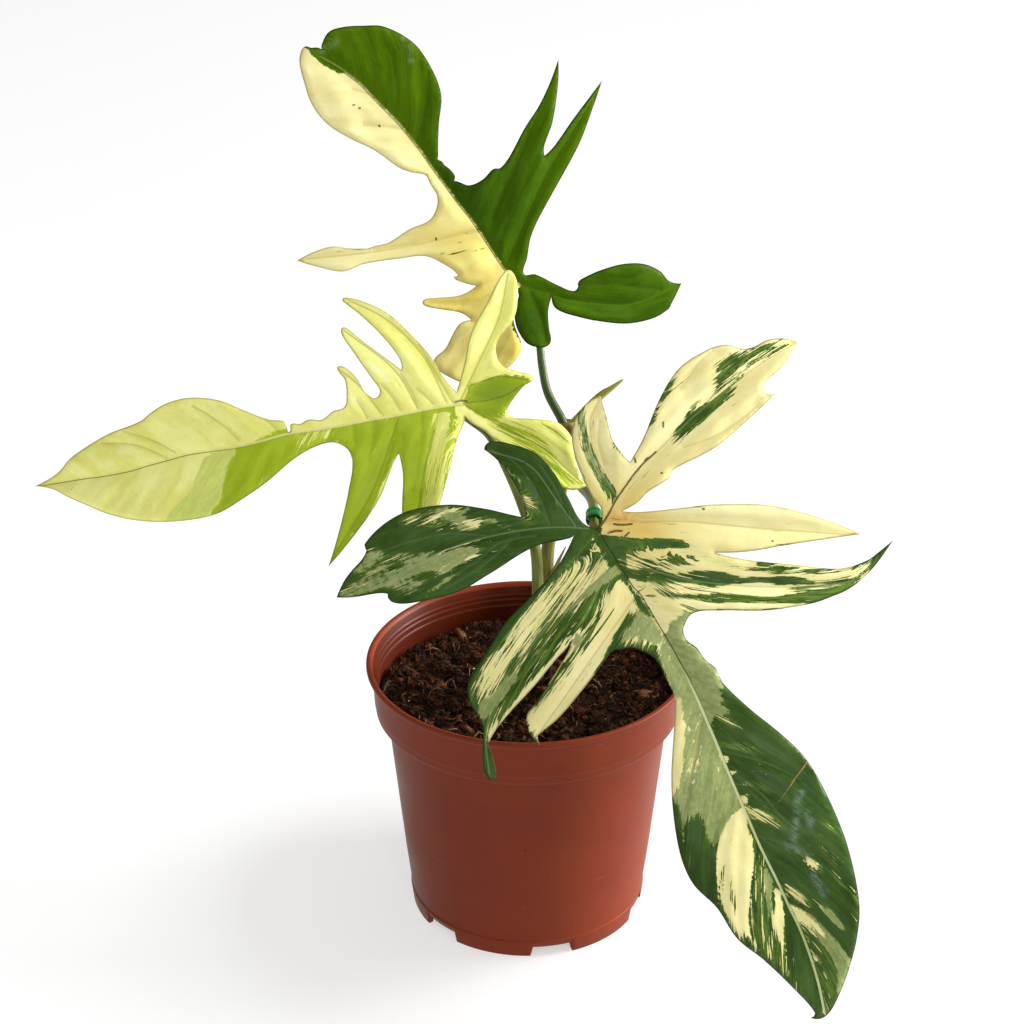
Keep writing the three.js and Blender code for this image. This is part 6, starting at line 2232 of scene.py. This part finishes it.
build_blade("leaf_top_blade", TOP_LEAF, top_finish, "leaf_top")
build_blade("leaf_left_blade", LEFT_LEAF, left_finish, "leaf_left")
build_blade("leaf_front_blade", FRONT_LEAF, front_finish, "leaf_front")

# %% [markdown]
# ## New leaf
#
# The next leaf is still rolled into a spear at the top of the stem. It is a limb like the
# stalks, drawn to a point, and the free edge of the roll is a low step that winds round it.

# %% New leaf
NEW_LEAF = [
    (14.2, 0, 201), (17.5, 2, 203), (21.5, 4, 206.5), (26.1, 7, 210), (30.2, 9, 212.4), (34.2, 11, 214.7),
]


def spear_radius(t):
    return 0.25 + 1.35 * (math.sin(math.pi * min(1, 0.25 + 0.75 * t)) ** 0.8 if t < 1 else 0)


def rolled(t, angle):
    """The free edge of the rolled blade stands out a little as a spiral step."""
    turn = (angle / (2 * math.pi) + 0.8 * t) % 1.0
    return 0.9 + 0.22 * turn


spear = skin("new_leaf_olive", shade(134, 134, 44), shade(96, 100, 26), shade(120, 100, 40), 0.2, 0.38)
grow("new_leaf_spear", NEW_LEAF, spear_radius, spear, ["new_leaf"], shape=rolled)

# %% [markdown]
# ## Old sheath
#
# Low on the stem an old sheath has dried to a thin curled blade with brown edges. It is two
# sheets of the same curl, a wall apart, joined all round.

# %% Old sheath
SHEATH_WALL = 0.28
SHEATH_ROWS = 60
SHEATH_COLUMNS = 13
SHEATH_PITCH = 0.45
SHEATH = [(7, -0.5, 132), (8.6, -3, 139), (9.7, -4.4, 144), (11.3, -5.4, 149.2), (13.8, -6.2, 155.5)]


def sheath_blade():
    """A thin curled strip, wide low down and drawn out to a point."""
    rows, columns = SHEATH_ROWS, SHEATH_COLUMNS
    line = smooth_line(SHEATH, rows)
    ways = unit(np.gradient(line, axis=0))
    points, faces, limb_at, ring = [], [], [], []
    for side in (0.0, SHEATH_WALL):
        for i, (centre, way) in enumerate(zip(line, ways)):
            t = i / (rows - 1)
            belly = 0.55 + 0.45 * math.sin(math.pi * min(1, t * 1.6 + 0.15))
            width = 2.6 * (1 - t) ** 0.75 * belly + 0.12
            across = unit(np.cross(way, [0.1, -1, 0.2]))
            out = np.cross(across, way)
            for k in range(columns):
                s = 2 * k / (columns - 1) - 1
                bend = 1.5 * s * (1 - 0.4 * t)
                depth = width * (1 - math.cos(bend)) - side
                points.append(centre + across * width * math.sin(bend) - out * depth)
                limb_at.append((s, 0.3 * s, i * SHEATH_PITCH))
                ring.append(max(0.0, abs(s) * 1.5 - 0.75) + 0.5 * t ** 3)
    layer = rows * columns
    for i in range(rows - 1):
        for k in range(columns - 1):
            a = i * columns + k
            faces.append((a, a + 1, a + columns + 1, a + columns))
            faces.append((layer + a, layer + a + columns, layer + a + columns + 1, layer + a + 1))
        for k in (0, columns - 1):
            a = i * columns + k
            faces.append((a, a + columns, layer + a + columns, layer + a))
    for k in range(columns - 1):
        for a in (k, (rows - 1) * columns + k):
            faces.append((a, a + 1, layer + a + 1, layer + a))
    return points, faces, np.array(limb_at), np.clip(ring, 0, 1)


dry = skin("dry_sheath", shade(150, 148, 84), shade(112, 108, 50), shade(92, 60, 32), 0.4, 0.6)
sheath_points, sheath_faces, sheath_limb, sheath_ring = sheath_blade()
add_piece("sheath_dry", sheath_points, sheath_faces, dry, ["sheath"],
          {"limb": sheath_limb, "ring": sheath_ring})

# %% [markdown]
# ## Plant tie
#
# A short band of green plastic with a square tab holds the front leaf's stalk.

# %% Plant tie
STALK_PLACES = 400
TIE_AT = 0.83
TIE_LENGTH = 5.0
TIE_RADIUS = 2.9
TIE_SIDES = 64
TAB_CORNERS = ((4.9, 1.9, 0), (0.6, 1.9, 90), (0.6, -1.9, 180), (4.9, -1.9, 270))
TAB_ROUNDING = 0.5
TAB_LAYERS = ((-0.55, 0.97), (-0.45, 1.0), (0.45, 1.0), (0.55, 0.97))


def tie_band():
    """A short band with rounded rims and a shallow channel round it, and where the tab goes."""
    line = smooth_line(front_line, STALK_PLACES)
    middle = int(TIE_AT * (STALK_PLACES - 1))
    centre = line[middle]
    axis = unit(line[middle + 2] - line[middle - 2])
    side = unit(np.cross(axis, [0, 0, 1.0]))
    up = np.cross(side, axis)
    half = TIE_LENGTH / 2
    lower_half = [
        (TIE_RADIUS - 0.7, -half + 0.15), (TIE_RADIUS - 0.55, -half), (TIE_RADIUS - 0.12, -half),
        (TIE_RADIUS, -half + 0.2), (TIE_RADIUS, -0.9), (TIE_RADIUS - 0.12, -0.75),
    ]
    profile = lower_half + [(radius, -along) for radius, along in reversed(lower_half)]
    points = []
    for radius, along in profile:
        for x, y, _ in round_row(radius, TIE_SIDES, 0):
            points.append(centre + axis * along + x * side + y * up)
    faces = [tuple(i % len(points) for i in face) for face in tube(len(profile) + 1, TIE_SIDES)]
    return points, faces, centre, axis, side, up


def tie_tab(centre, axis, side, up):
    """The tab: a flat plate with rounded corners and bevelled edges."""
    outline = []
    for corner_x, corner_y, first in TAB_CORNERS:
        for angle in np.radians(first + 22.5 * np.arange(5)):
            x = TIE_RADIUS - 1.0 + corner_x + TAB_ROUNDING * (math.cos(angle) - 1)
            outline.append((x, corner_y + TAB_ROUNDING * math.sin(angle)))
    middle = np.mean(outline, axis=0)
    points = []
    for z, share in TAB_LAYERS:
        for x, y in middle + (np.array(outline) - middle) * share:
            points.append(centre - side * x + axis * y + up * z)
    return points, closed_tube(len(TAB_LAYERS), len(outline))


def tie_plastic():
    f = Finish("tie_green_plastic", roughness=0.3, specular=0.45)
    place = f.place()
    cloudy = f.noise(place, 160, 3)
    colour = f.mix(f.step(cloudy, 0.35, 0.65), shade(10, 84, 42), shade(28, 140, 66))
    grain = f.noise(place, 1800, 2)
    return f.done(colour, f.bump(grain, 0.0001, 0.4))


tie_finish = tie_plastic()
band_points, band_faces, *tie_frame = tie_band()
add_piece("tie_band", band_points, band_faces, tie_finish, ["tie"])
tab_points, tab_faces = tie_tab(*tie_frame)
add_piece("tie_tab", tab_points, tab_faces, tie_finish)
